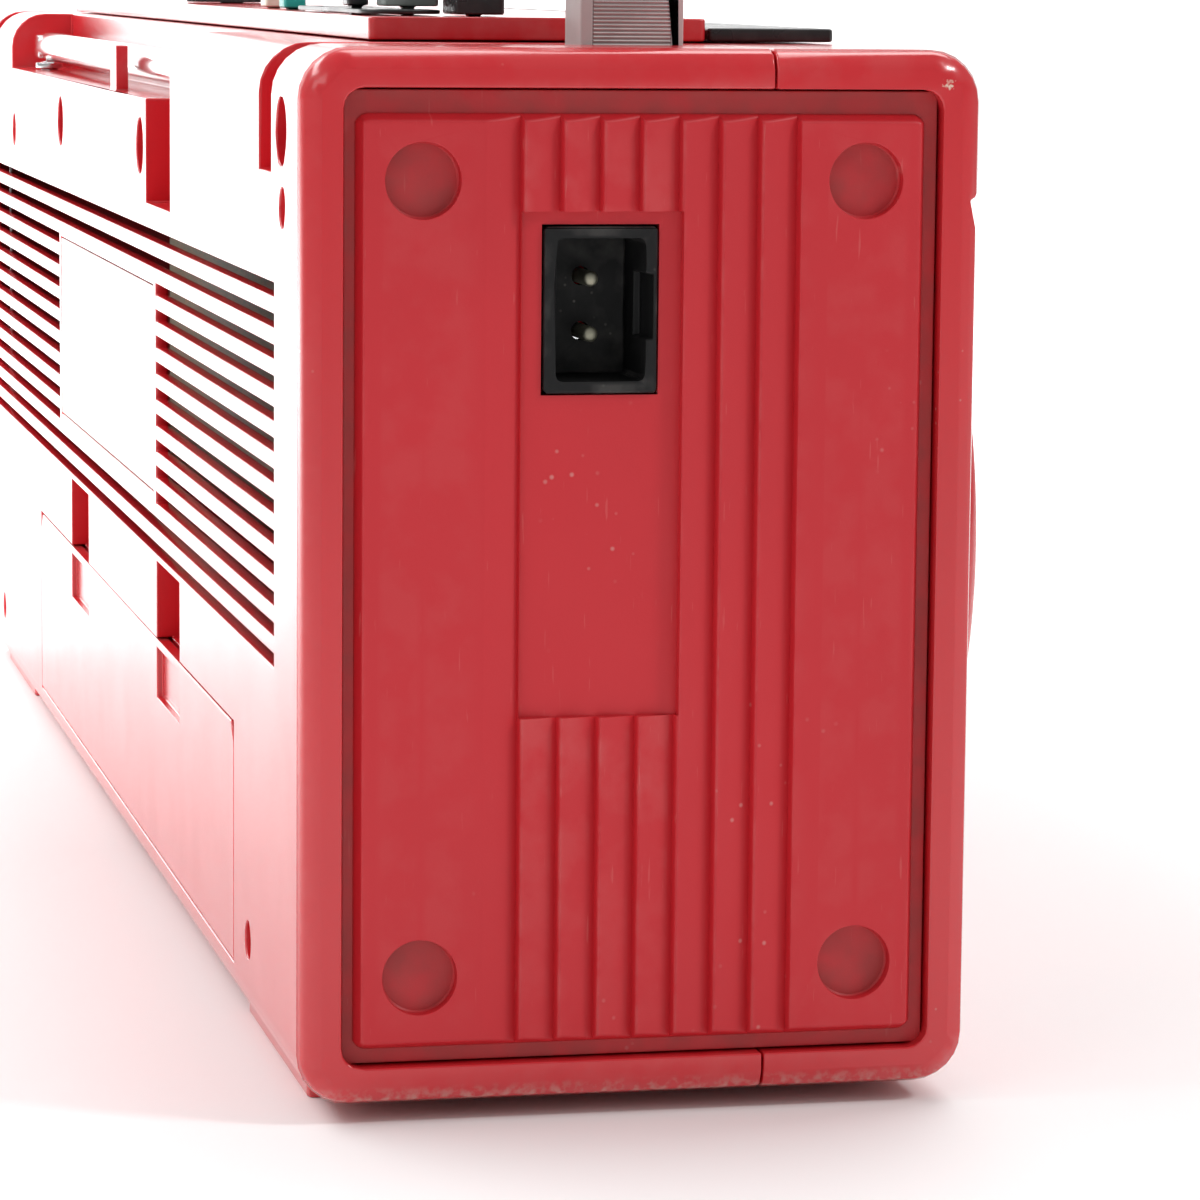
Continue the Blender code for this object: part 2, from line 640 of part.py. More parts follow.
# ---------------------------------------------------------------- handle
def handle():
    """Two ribbed arms that turn in the case's slots, and the grip between them."""
    outline = arc((0, 0), ARM_R, 180, 360, 12) + arc((0, HANDLE_REACH), ARM_R, 0, 180, 12)
    pieces = []
    for side, sign in (("left", -1), ("right", 1)):
        x = sign * (ARM_IN + ARM_OUT) / 2
        frame = Matrix(((0, 0, 1, x), (1, 0, 0, HANDLE_Y), (0, 1, 0, HANDLE_Z), (0, 0, 0, 1)))
        arm = prism(f"handle_{side}_arm", [outline], ARM_OUT - ARM_IN, frame, GREY)
        pins = rod(
            f"{side}_arm_pins", (x, HANDLE_Y, HANDLE_Z), PIN_R, ARM_OUT - ARM_IN + 0.0038, "X", segments=24)
        join(arm, pins)
        pieces.append(smooth(arm))
    top = HANDLE_Z + HANDLE_REACH
    grip = block(
        "handle_grip", (-ARM_IN + GAP, HANDLE_Y - 0.0080, top - 0.0070),
        (ARM_IN - GAP, HANDLE_Y + 0.0080, top + 0.0070),
        GREY, radius=0.005, along="X", segments=4)
    pieces.append(smooth(grip))
    pivot("handle_axis", (0, HANDLE_Y, HANDLE_Z), pieces)


# ---------------------------------------------------------------- antenna
TUBE_END = -0.0955
TIP_END = -0.1035


def antenna():
    """A post with a tongue, and three nested sections that tilt on it."""
    ledge = TOP - RECESS_H
    post = rod("antenna_post", (POST_X, ROD_Y, ledge - 0.0005), 0.0020, 0.0050, "Z", CHROME, 20)
    join(post,
         rod("post_collar", (POST_X, ROD_Y, ledge + 0.0010), 0.0032, 0.0014, "Z", segments=20),
         block("post_tongue", (POST_X - 0.0020, ROD_Y - 0.0009, ledge + 0.0012),
               (POST_X + 0.0020, ROD_Y + 0.0009, ROD_Z + 0.0022)))
    smooth(post)

    tube = rod("antenna_tube", ((POST_X - 0.0035 + TUBE_END) / 2, ROD_Y, ROD_Z), ROD_R,
               POST_X - 0.0035 - TUBE_END, "X", CHROME, 28)
    join(tube, block("clevis", (POST_X - 0.0060, ROD_Y - 0.0031, ROD_Z - 0.0026),
                     (POST_X + 0.0024, ROD_Y + 0.0031, ROD_Z + 0.0026), radius=0.001, along="Y", segments=2))
    cut(tube,
        rod("tube_bore", ((POST_X - 0.020 + TUBE_END - PAST) / 2, ROD_Y, ROD_Z), 0.0027,
            POST_X - 0.020 - TUBE_END + PAST, "X", segments=28),
        block("clevis_slot", (POST_X - 0.0045, ROD_Y - 0.0012, ROD_Z - 0.006),
              (POST_X + 0.006, ROD_Y + 0.0012, ROD_Z + 0.006)))
    smooth(tube)
    middle_start = TUBE_END - 0.0010
    middle_stop = POST_X - 0.022
    middle = rod("antenna_middle", ((middle_start + middle_stop) / 2, ROD_Y, ROD_Z), 0.0024,
                 middle_stop - middle_start, "X", CHROME, 24)
    cut(middle, rod("middle_bore", ((middle_start - PAST + middle_stop - 0.004) / 2, ROD_Y, ROD_Z), 0.0018,
                    middle_stop - 0.004 - middle_start + PAST, "X", segments=24))
    smooth(middle)
    tip_start = TIP_END + 0.002
    tip_stop = POST_X - 0.028
    tip_middle = ((tip_start + tip_stop) / 2, ROD_Y, ROD_Z)
    tip = rod("antenna_tip", tip_middle, 0.0015, tip_stop - tip_start, "X", CHROME, 20)
    join(tip, rod("tip_knob", (TIP_END + 0.0031, ROD_Y, ROD_Z), 0.0030, 0.0062, "X", segments=20))
    smooth(tip)
    pivot("antenna_axis", (POST_X, ROD_Y, ROD_Z), [tube, middle, tip])


# ---------------------------------------------------------------- battery cover
COVER_AXIS = (0, REAR - 0.0006, COVER_Z[0] + 0.0018)


def battery_cover():
    left, right = COVER_X[0] + GAP, COVER_X[1] - GAP
    low, high = COVER_Z[0] + GAP, COVER_Z[1] - GAP
    chamfer = 0.0035
    outline = [
        (left, low), (right, low), (right, high - chamfer), (right - chamfer, high),
        (left + chamfer, high), (left, high - chamfer)]
    thickness = COVER_T - 2 * GAP
    frame = Matrix(((1, 0, 0, 0), (0, 0, -1, REAR - thickness / 2), (0, 1, 0, 0), (0, 0, 0, 1)))
    cover = prism("battery_cover", [outline], thickness, frame, RED)
    cut(cover, blocks("latch_pockets", [
        ((x - LATCH_HALF, REAR - 0.0012, high - LATCH_DROP), (x + LATCH_HALF, REAR + PAST, high - 0.0016))
        for x in LATCH_X]))
    return set_origin(cover, COVER_AXIS)


# ---------------------------------------------------------------- cassette door
def cassette_door():
    """The door, its clear window and the carrier that holds the cassette behind it."""
    front, back = FRONT - 0.0015, FRONT + 0.0030
    door = block(
        "cassette_door", (-DOOR_HALF, front, DOOR_Z[0]), (DOOR_HALF, back, DOOR_Z[1]), RED,
        radius=0.002, along="Y", segments=2)
    cut(door, block(
        "door_hole", (-WINDOW_HALF, front - PAST, WINDOW_Z[0]), (WINDOW_HALF, back + PAST, WINDOW_Z[1])))
    smooth(door)
    window = block(
        "door_window", (-WINDOW_HALF + GAP, FRONT - 0.0006, WINDOW_Z[0] + GAP),
        (WINDOW_HALF - GAP, FRONT + 0.0010, WINDOW_Z[1] - GAP), CLEAR)
    carrier = block(
        "cassette_carrier", (-0.0535, FRONT + 0.0033, 0.0400), (0.0535, FRONT + 0.0185, 0.0980), GREY)
    cut(carrier,
        block("cassette_space", (-0.0512, FRONT + 0.0048, 0.0415), (0.0512, FRONT + 0.0172, 0.1000)),
        block("carrier_back", (-0.0470, FRONT + 0.0100, 0.0415), (0.0470, FRONT + 0.0210, 0.1000)),
        block("head_gap", (-0.0380, FRONT + 0.0048, 0.0380), (0.0380, FRONT + 0.0210, 0.0500)),
        block("carrier_window", (-0.0440, FRONT, 0.0540), (0.0440, FRONT + 0.0100, 0.1000)))
    pivot("door_axis", DOOR_PIVOT, [door, window, carrier])


# ---------------------------------------------------------------- keys, knobs and sliders
def tape_keys():
    for number, name in enumerate(KEYS):
        x = (number - (len(KEYS) - 1) / 2) * KEY_PITCH
        key = block(
            name, (x - KEY_W / 2, KEY_Y[0], TOP - 0.0040), (x + KEY_W / 2, KEY_Y[1], TOP + STRIP_H + 0.0010),
            GREY, radius=0.0006, along="Z", segments=1)
        set_origin(key, (x, (KEY_Y[0] + KEY_Y[1]) / 2, TOP + STRIP_H))


def slider_knobs():
    level = TOP + DECK_H
    for name, x, y, length, width, height, base, _, mat in SLIDERS:
        low = level + base + GAP
        knob = block(
            name, (x - length / 2, y - width / 2, low), (x + length / 2, y + width / 2, level + height), mat,
            radius=0.0006, along="Z", segments=1)
        stem = block(
            name + "_stem", (x - 0.0016, y - 0.0009, TOP + 0.0012), (x + 0.0016, y + 0.0009, low + 0.001))
        join(knob, stem)
        if name == "function_switch_knob":
            bevelled = [(-0.007, 0.012), (-0.007, 0.0035), (-0.001, 0.012)]
            along_y = Matrix(((1, 0, 0, x), (0, 0, 1, y), (0, 1, 0, level), (0, 0, 0, 1)))
            cut(knob, prism("switch_wedge", [bevelled], width + 2 * PAST, along_y))
        set_origin(knob, (x, y, level))


def volume_knob():
    level = TOP + DECK_H
    profile = [
        (0.0, 0.0100), (0.0078, 0.0100), (0.0088, 0.0090), (VOLUME_R, 0.0015), (VOLUME_R, GAP),
        (0.0025, GAP), (0.0025, -0.0028), (0.0, -0.0028)]
    turned("volume_knob", profile, (*VOLUME, level), "Z", BLACK, 32)


def tuning():
    """The front knob, and the pointer that it draws along the dial."""
    profile = [
        (0.0, 0.0045), (0.0078, 0.0045), (0.0088, 0.0036), (0.0090, 0.0004), (0.0020, 0.0004),
        (0.0020, -0.0100), (0.0, -0.0100)]
    turned("tuning_knob", profile, (0.185, FRONT, TOP - 0.0115), "-Y", BLACK, 28)
    low, high = DIAL_Z
    pointer = block(
        "dial_pointer", (-0.0006, FRONT + 0.0022, low + 0.001),
        (0.0006, FRONT + 0.0032, high - 0.001), POINTER)
    set_origin(pointer, (0, FRONT + 0.0027, (low + high) / 2))


# ---------------------------------------------------------------- tape mechanism
def chassis():
    thickness = 0.0015
    plate = block(
        "mechanism_chassis", (-0.058, CHASSIS_Y, 0.022), (0.058, CHASSIS_Y + thickness, 0.112), STEEL)
    cut(plate,
        rods("reel_holes", [(side * REEL_X, CHASSIS_Y, REEL_Z) for side in (-1, 1)], 0.0024, 0.008, "Y", 20),
        rods("capstan_hole", [(CAPSTAN[0], CHASSIS_Y, CAPSTAN[1])], 0.0020, 0.008, "Y", 20))
    return plate


def flywheel():
    """A heavy rim behind the chassis, turned in one piece with the capstan in front of it."""
    rim = BELT_Y - FRONT
    profile = [
        (0.0, -0.0080), (CAPSTAN_R, -0.0080), (CAPSTAN_R, -rim + 0.0025), (0.0150, -rim + 0.0025),
        (0.0170, -rim + 0.0030), (FLYWHEEL_R, -rim + 0.0030), (FLYWHEEL_R, -rim - 0.0030),
        (0.0030, -rim - 0.0030), (0.0020, -rim - 0.0060), (0.0, -rim - 0.0060)]
    turned("flywheel", profile, (CAPSTAN[0], FRONT, CAPSTAN[1]), "-Y", STEEL, 32)


def motor():
    back = BELT_Y + 0.0040
    profile = [
        (0.0, 0.0), (0.0030, 0.0), (0.0030, -0.0010), (0.0150, -0.0010), (0.0160, -0.0020),
        (0.0160, -0.0260), (0.0, -0.0260)]
    turned("motor", profile, (MOTOR[0], back, MOTOR[1]), "-Y", STEEL, 24)
    pulley = [
        (0.0, 0.0030), (0.0046, 0.0030), (0.0046, 0.0024), (PULLEY_R, 0.0020), (PULLEY_R, -0.0020),
        (0.0046, -0.0024), (0.0046, -0.0030), (0.0, -0.0030)]
    turned("motor_pulley", pulley, (MOTOR[0], BELT_Y, MOTOR[1]), "-Y", BRASS, 20)


def belt_outline(clearance):
    """The loop round pulley and flywheel: two arcs joined by their outer tangents."""
    small, large = PULLEY_R + clearance, FLYWHEEL_R + clearance
    across = Vector((CAPSTAN[0] - MOTOR[0], CAPSTAN[1] - MOTOR[1]))
    heading = math.degrees(math.atan2(across.y, across.x))
    lean = math.degrees(math.acos((small - large) / across.length))
    return (arc(MOTOR, small, heading + lean, heading + 360 - lean, 12)
            + arc(CAPSTAN, large, heading - lean, heading + lean, 28))


def belt():
    frame = Matrix(((1, 0, 0, 0), (0, 0, -1, BELT_Y), (0, 1, 0, 0), (0, 0, 0, 1)))
    prism("drive_belt", [belt_outline(0.0012), belt_outline(GAP)], 0.0028, frame, RUBBER)


def reel_spindles():
    profile = [
        (0.0, -0.0085), (0.0028, -0.0085), (0.0038, -0.0100), (0.0038, -0.0165), (0.0090, -0.0168),
        (0.0090, -0.0192), (0.0020, -0.0195), (0.0020, -0.0235), (0.0, -0.0235)]
    for side, sign in (("left", -1), ("right", 1)):
        centre = (sign * REEL_X, FRONT, REEL_Z)
        spindle = turned(f"reel_spindle_{side}", profile, centre, "-Y", CREAM, 20)
        for fin in range(3):
            angle = Matrix.Rotation(math.radians(120 * fin), 4, "Y")
            tool = block(f"{side}_fin_{fin}", (0.002, 0.0105, -0.0006), (0.0050, 0.0160, 0.0006))
            tool.data.transform(Matrix.Translation(centre) @ angle)
            join(spindle, tool)


def head_plate():
    """The plate that lifts the head and the pinch roller's axle to the tape."""
    plate = block(
        "head_plate", (-0.034, FRONT + 0.0188, 0.0245), (0.0360, FRONT + 0.0200, 0.0400), STEEL)
    join(plate,
         block("head_block", (-0.0070, FRONT + 0.0070, 0.0290), (0.0070, FRONT + 0.0192, 0.0370)),
         rod("roller_axle", (CAPSTAN[0], FRONT + 0.0135, 0.0332), 0.0011, 0.0115, "Y", segments=16))
    set_origin(plate, (0, FRONT + 0.0194, 0.0330))
    roller = [
        (0.0014, 0.0040), (0.0060, 0.0040), (0.0060, -0.0040), (0.0014, -0.0040), (0.0014, 0.0040)]
    turned("pinch_roller", roller, (CAPSTAN[0], FRONT + 0.0128, 0.0332), "-Y", RUBBER, 24)


def electronics():
    board = block("circuit_board", (-0.120, 0.0220, 0.0610), (0.140, 0.0236, 0.1400), BOARD)
    join(board,
         rod("capacitor_large", (-0.080, 0.0150, 0.090), 0.0080, 0.0150, "Y", segments=16),
         rod("capacitor_small", (-0.050, 0.0170, 0.085), 0.0050, 0.0110, "Y", segments=16),
         block("tuning_capacitor", (0.080, 0.0080, 0.105), (0.105, 0.0225, 0.130)),
         block("amplifier", (0.000, 0.0160, 0.070), (0.024, 0.0225, 0.084)))
    core = block("transformer", (-0.252, 0.0060, 0.0100), (-0.210, 0.0420, 0.0240), STEEL)
    join(core,
         block("core_top", (-0.252, 0.0060, 0.0400), (-0.210, 0.0420, 0.0520)),
         block("winding", (-0.250, 0.0100, 0.0200), (-0.212, 0.0380, 0.0440)))


# ---------------------------------------------------------------- assembly
HOLLOW = cavity()
ENDS = [end_opening(-1), end_opening(1)]
rear_shell(HOLLOW, ENDS)
front_shell(HOLLOW, ENDS)
end_panel("left_end_panel", -1, True)
end_panel("right_end_panel", 1, False)
ac_inlet()
top_deck()
control_plate()
key_strip()
feet()
case_screws()
rating_plate()
grilles_and_speakers()
dial_window()
handle()
antenna()
battery_cover()
cassette_door()
tape_keys()
slider_knobs()
volume_knob()
tuning()
chassis()
flywheel()
motor()
belt()
reel_spindles()
head_plate()
electronics()
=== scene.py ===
import json
import math

import bmesh
import bpy
from mathutils import Matrix, Vector

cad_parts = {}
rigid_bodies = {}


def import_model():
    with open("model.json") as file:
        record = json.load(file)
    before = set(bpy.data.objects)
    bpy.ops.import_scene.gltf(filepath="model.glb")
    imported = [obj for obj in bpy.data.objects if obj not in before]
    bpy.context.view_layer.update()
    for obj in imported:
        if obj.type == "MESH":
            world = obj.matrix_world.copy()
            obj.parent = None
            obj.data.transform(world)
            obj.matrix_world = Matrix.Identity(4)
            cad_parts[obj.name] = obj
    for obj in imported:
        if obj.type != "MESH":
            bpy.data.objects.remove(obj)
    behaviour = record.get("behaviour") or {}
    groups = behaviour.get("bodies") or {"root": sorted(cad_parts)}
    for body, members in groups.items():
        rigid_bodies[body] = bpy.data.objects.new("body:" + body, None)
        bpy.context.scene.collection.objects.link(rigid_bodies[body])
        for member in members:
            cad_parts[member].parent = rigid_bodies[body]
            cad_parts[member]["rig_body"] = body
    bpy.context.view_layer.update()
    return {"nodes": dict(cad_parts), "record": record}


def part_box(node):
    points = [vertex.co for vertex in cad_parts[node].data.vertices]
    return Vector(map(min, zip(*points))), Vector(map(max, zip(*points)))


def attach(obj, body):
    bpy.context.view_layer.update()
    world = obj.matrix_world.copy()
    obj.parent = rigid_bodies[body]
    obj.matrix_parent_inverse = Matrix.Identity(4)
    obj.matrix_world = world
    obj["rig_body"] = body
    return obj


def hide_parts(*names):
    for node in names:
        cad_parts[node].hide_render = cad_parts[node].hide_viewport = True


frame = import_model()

NODES = frame["nodes"]
SLOT_OF = {part["node"]: part["material_slot"] for part in frame["record"]["subparts"]}


# ---------------------------------------------------------------- materials
class Look:
    """A node material built up step by step round one Principled shader."""

    def __init__(self, name, colour, roughness, metallic=0.0):
        self.material = bpy.data.materials.new(name)
        self.material.use_nodes = True
        self.tree = self.material.node_tree
        self.shader = self.tree.nodes["Principled BSDF"]
        self.place = self.add("TexCoord").outputs["Object"]
        self.shader.inputs["Metallic"].default_value = metallic
        self.colour = colour
        self.roughness = roughness
        self.height = None

    def add(self, kind, **settings):
        node = self.tree.nodes.new("ShaderNode" + kind)
        for key, value in settings.items():
            setattr(node, key, value)
        return node

    def wire(self, value, socket):
        """Link a socket, or set a plain number or colour."""
        if hasattr(value, "is_output"):
            self.tree.links.new(value, socket)
        else:
            if socket.type == "RGBA" and len(value) == 3:
                value = (*value, 1.0)
            socket.default_value = value

    def noise(self, scale, detail=2.0, rough=0.5, stretch=None):
        node = self.add("TexNoise")
        node.inputs["Scale"].default_value = scale
        node.inputs["Detail"].default_value = detail
        node.inputs["Roughness"].default_value = rough
        place = self.place
        if stretch is not None:
            mapping = self.add("Mapping")
            mapping.inputs["Scale"].default_value = stretch
            self.wire(place, mapping.inputs["Vector"])
            place = mapping.outputs["Vector"]
        self.wire(place, node.inputs["Vector"])
        return node.outputs["Fac"]

    def remap(self, value, low, high, to_low=0.0, to_high=1.0):
        node = self.add("MapRange")
        node.inputs["From Min"].default_value = low
        node.inputs["From Max"].default_value = high
        node.inputs["To Min"].default_value = to_low
        node.inputs["To Max"].default_value = to_high
        self.wire(value, node.inputs["Value"])
        return node.outputs["Result"]

    def math(self, operation, first, second=0.0):
        node = self.add("Math", operation=operation)
        self.wire(first, node.inputs[0])
        self.wire(second, node.inputs[1])
        return node.outputs["Value"]

    def blend(self, amount, first, second):
        node = self.add("Mix", data_type="RGBA")
        self.wire(amount, node.inputs["Factor"])
        self.wire(first, node.inputs["A"])
        self.wire(second, node.inputs["B"])
        return node.outputs["Result"]

    def axis(self, name):
        split = self.add("SeparateXYZ")
        self.wire(self.place, split.inputs[0])
        return split.outputs[name]

    def vary(self, scale, amount, detail=3.0):
        """Broad patches that are a little lighter and darker."""
        patches = self.noise(scale, detail)
        dark = tuple(c * (1 - amount) for c in self.colour[:3])
        light = tuple(min(1.0, c * (1 + amount)) for c in self.colour[:3])
        self.colour = self.blend(self.remap(patches, 0.3, 0.7), dark, light)
        return self

    def tint(self, amount, colour):
        self.colour = self.blend(amount, self.colour, colour)
        return self

    def uneven(self, scale, spread, detail=4.0):
        """Roughness that wanders about its mean."""
        mean = self.roughness
        self.roughness = self.remap(self.noise(scale, detail), 0.3, 0.7, mean - spread, mean + spread)
        return self

    def grain(self, scale, depth, detail=2.0, stretch=None):
        """Fine relief, with its depth in metres."""
        fine = self.math("MULTIPLY", self.noise(scale, detail, 0.55, stretch), depth)
        self.height = fine if self.height is None else self.math("ADD", self.height, fine)
        return self

    def specks(self, scale, size, share, colour, strength=0.8):
        """Scattered pale dust and nicks, in patches."""
        cells = self.add("TexVoronoi", feature="F1")
        cells.inputs["Scale"].default_value = scale
        self.wire(self.place, cells.inputs["Vector"])
        dots = self.remap(cells.outputs["Distance"], size, size * 0.4)
        patch = self.remap(self.noise(38.0, 3.0), share, share + 0.08)
        return self.tint(self.math("MULTIPLY", self.math("MULTIPLY", dots, patch), strength), colour)

    def scratches(self, scale, colour, strength=0.3, stretch=(1.0, 14.0, 1.0)):
        """Thin hairlines."""
        lines = self.remap(self.noise(scale, 2.0, 0.5, stretch), 0.70, 0.74)
        return self.tint(self.math("MULTIPLY", lines, strength), colour)

    def worn_edges(self, colour, strength=0.35, low=0.53, high=0.60):
        """Paler, rubbed corners, from how convex the surface is."""
        convex = self.remap(self.add("NewGeometry").outputs["Pointiness"], low, high)
        patch = self.remap(self.noise(160.0, 4.0), 0.42, 0.62)
        return self.tint(self.math("MULTIPLY", self.math("MULTIPLY", convex, patch), strength), colour)

    def done(self):
        self.wire(self.colour, self.shader.inputs["Base Color"])
        self.wire(self.roughness, self.shader.inputs["Roughness"])
        if self.height is not None:
            bump = self.add("Bump")
            bump.inputs["Strength"].default_value = 1.0
            bump.inputs["Distance"].default_value = 1.0
            self.wire(self.height, bump.inputs["Height"])
            self.wire(bump.outputs["Normal"], self.shader.inputs["Normal"])
        return self.material


RED = (0.600, 0.014, 0.022)
RED_WORN = (0.62, 0.11, 0.11)
DUST = (0.60, 0.42, 0.36)
CHIP_PLACE = (-0.2655, -0.0452, 0.1610)
CHIP_COLOUR = (0.80, 0.62, 0.50)
# Darker red for the end panels' recess: painted shade.
RECESS_PAINTED_SHADE = (0.26, 0.040, 0.036)


def glossy_red():
    look = Look("red_gloss", RED, 0.24).vary(14.0, 0.05).uneven(60.0, 0.02)
    look.grain(900.0, 0.000004).grain(45.0, 0.00002, 1.0)
    look.worn_edges(RED_WORN, 0.5)
    look.specks(420.0, 0.13, 0.60, DUST, 0.45)
    below_rim = look.remap(look.axis("Z"), 0.0062, 0.0034)
    above_feet = look.remap(look.axis("Z"), 0.0025, 0.0030)
    low_edge = look.math("MULTIPLY", below_rim, above_feet)
    patches = look.remap(look.noise(700.0, 4.0), 0.45, 0.65, 0.0, 0.6)
    look.tint(look.math("MULTIPLY", low_edge, patches), DUST)
    chip = look.add("VectorMath", operation="DISTANCE")
    look.wire(look.place, chip.inputs[0])
    chip.inputs[1].default_value = CHIP_PLACE
    wander = look.remap(look.noise(1400.0), 0.3, 0.7, -0.0004, 0.0004)
    ragged = look.math("ADD", chip.outputs["Value"], wander)
    look.tint(look.remap(ragged, 0.0017, 0.0014), CHIP_COLOUR)
    look.shader.inputs["IOR"].default_value = 1.52
    look.shader.inputs["Coat Weight"].default_value = 0.45
    look.shader.inputs["Coat Roughness"].default_value = 0.15
    return look.done()


def grained_red():
    look = Look("red_grained", (0.560, 0.015, 0.024), 0.50).vary(11.0, 0.06).uneven(80.0, 0.05)
    look.grain(2600.0, 0.000016, 3.0).grain(700.0, 0.000010)
    look.worn_edges(RED_WORN, 0.55)
    look.specks(330.0, 0.15, 0.58, (0.66, 0.36, 0.33), 0.45)
    look.scratches(120.0, (0.66, 0.20, 0.18), 0.22)
    # Painted shade: the recess floor round the pad is tinted a darker red, in noisy patches.
    outward = look.math("ABSOLUTE", look.axis("X"))
    recess = look.remap(outward, 0.2650, 0.2646)
    painted_shade_patches = look.remap(look.noise(160.0, 4.0), 0.35, 0.65, 0.20, 0.60)
    look.tint(look.math("MULTIPLY", recess, painted_shade_patches), RECESS_PAINTED_SHADE)
    look.shader.inputs["IOR"].default_value = 1.5
    return look.done()


def moulded(name, colour, roughness, grain=0.000008, worn=None, gloss=1.48):
    look = Look(name, colour, roughness).vary(30.0, 0.10).uneven(120.0, 0.06)
    look.grain(1900.0, grain, 3.0)
    look.worn_edges(worn or tuple(min(1.0, c * 1.6 + 0.03) for c in colour), 0.4)
    look.specks(500.0, 0.15, 0.56, (0.40, 0.37, 0.34), 0.35)
    look.shader.inputs["IOR"].default_value = gloss
    return look.done()


def metal(name, colour, roughness, stretch=None, tarnish=None):
    look = Look(name, colour, roughness, 1.0).vary(40.0, 0.05).uneven(80.0, roughness * 0.2)
    look.grain(1400.0, 0.0000012, 2.0, stretch)
    if tarnish:
        look.tint(look.remap(look.noise(90.0, 2.0), 0.42, 0.72, 0.0, 0.4), tarnish)
    return look.done()


def window_plastic():
    look = Look("clear_window", (0.86, 0.87, 0.88), 0.03).uneven(20.0, 0.01)
    look.grain(8.0, 0.000002, 1.0)
    look.shader.inputs["Transmission Weight"].default_value = 0.92
    look.shader.inputs["IOR"].default_value = 1.49
    look.colour = look.blend(look.remap(look.noise(30.0), 0.3, 0.7), (0.62, 0.64, 0.66), (0.72, 0.74, 0.76))
    return look.done()


def cone_paper():
    look = Look("speaker_cone", (0.035, 0.034, 0.032), 0.85).vary(120.0, 0.25).uneven(200.0, 0.08)
    look.grain(1500.0, 0.00003, 4.0)
    return look.done()


def board_look():
    look = Look("circuit_board", (0.26, 0.17, 0.06), 0.55).vary(60.0, 0.15)
    tracks = look.remap(look.noise(260.0, 1.0, 0.5, (1.0, 1.0, 6.0)), 0.50, 0.53)
    look.tint(look.math("MULTIPLY", tracks, 0.5), (0.10, 0.17, 0.06))
    look.grain(800.0, 0.00002)
    return look.done()


def floor_look():
    look = Look("pale_floor", (0.93, 0.93, 0.93), 0.7).vary(1.5, 0.01).uneven(4.0, 0.05)
    look.shader.inputs["IOR"].default_value = 1.3
    return look.done()


RED_GLOSS = glossy_red()
RED_GRAIN = grained_red()
BLACK = moulded("black_plastic", (0.020, 0.020, 0.022), 0.42, worn=(0.09, 0.09, 0.09))
BLACK_SATIN = moulded("black_satin", (0.014, 0.014, 0.015), 0.30, 0.000004, (0.07, 0.07, 0.07))
GREY = moulded("warm_grey_plastic", (0.52, 0.495, 0.485), 0.45)
KEY_GREY = moulded("key_grey_plastic", (0.22, 0.215, 0.21), 0.40)
GREEN_GREY = moulded("green_grey_plastic", (0.20, 0.225, 0.21), 0.5)
TEAL = moulded("teal_plastic", (0.0, 0.36, 0.31), 0.35, 0.000004)
CREAM = moulded("cream_plastic", (0.72, 0.68, 0.56), 0.38, 0.000004)
WHITE = moulded("white_label", (0.80, 0.80, 0.78), 0.55, 0.000003, (0.9, 0.9, 0.9))
POINTER = moulded("orange_pointer", (0.80, 0.16, 0.02), 0.4)
RUBBER = moulded("black_rubber", (0.024, 0.024, 0.024), 0.78, 0.00002)
INLET_BLACK = moulded("inlet_black", (0.011, 0.011, 0.0115), 0.45, 0.000006, (0.10, 0.095, 0.09), 1.30)
CHROME = metal("chrome", (0.80, 0.81, 0.82), 0.10)
STEEL = metal("plated_steel", (0.56, 0.56, 0.55), 0.32, (1.0, 1.0, 12.0), (0.34, 0.32, 0.27))
BRASS = metal("brass", (0.62, 0.50, 0.28), 0.38, None, (0.36, 0.34, 0.27))
PIN_METAL = metal("nickel_pins", (0.42, 0.41, 0.32), 0.50, None, (0.42, 0.40, 0.30))
CLEAR = window_plastic()
CONE = cone_paper()
BOARD = board_look()
PRINT = moulded("pale_print", (0.78, 0.77, 0.72), 0.5, 0.000002)
DIAL_BACK = moulded("dial_backing", (0.03, 0.032, 0.035), 0.5, 0.000002)

MATERIAL_OF = {
    "red_case": RED_GLOSS, "black_plastic": BLACK, "grey_plastic": GREY, "green_grey_plastic": GREEN_GREY,
    "teal_plastic": TEAL, "cream_plastic": CREAM, "chrome": CHROME, "steel": STEEL, "brass": BRASS,
    "rubber": RUBBER, "white_label": WHITE, "clear_window": CLEAR, "circuit_board": BOARD,
    "orange_pointer": POINTER,
}


# ---------------------------------------------------------------- mesh helpers
def finish_mesh(name, bm, material, smooth_angle=40.0):
    """Turn a bmesh into a shaded piece."""
    mesh = bpy.data.meshes.new(name)
    bmesh.ops.recalc_face_normals(bm, faces=bm.faces)
    bm.to_mesh(mesh)
    bm.free()
    mesh.materials.append(material)
    obj = bpy.data.objects.new(name, mesh)
    bpy.context.scene.collection.objects.link(obj)
    mesh.shade_smooth()
    mesh.set_sharp_from_angle(angle=math.radians(smooth_angle))
    weighted = obj.modifiers.new("normals", "WEIGHTED_NORMAL")
    weighted.keep_sharp = True
    return obj


def stand_for(obj, *nodes):
    """The piece moves with and replaces these CAD nodes."""
    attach(obj, NODES[nodes[0]]["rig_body"])
    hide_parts(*nodes)
    return obj


def go_with(obj, node):
    """The piece is extra detail on a CAD node's body."""
    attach(obj, NODES[node]["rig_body"])
    return obj


def cad_bmesh(node, whole_faces=True):
    """A welded copy of a CAD node's mesh.

    Its flat faces are made whole again unless whole_faces is off, which suits faces that hold rows of slots,
    because such faces fold over when their edges are rounded.
    """
    bm = bmesh.new()
    bm.from_mesh(NODES[node].data)
    bmesh.ops.remove_doubles(bm, verts=bm.verts, dist=0.000002)
    if whole_faces:
        bmesh.ops.dissolve_limit(bm, angle_limit=math.radians(0.4), verts=bm.verts, edges=bm.edges)
    return bm


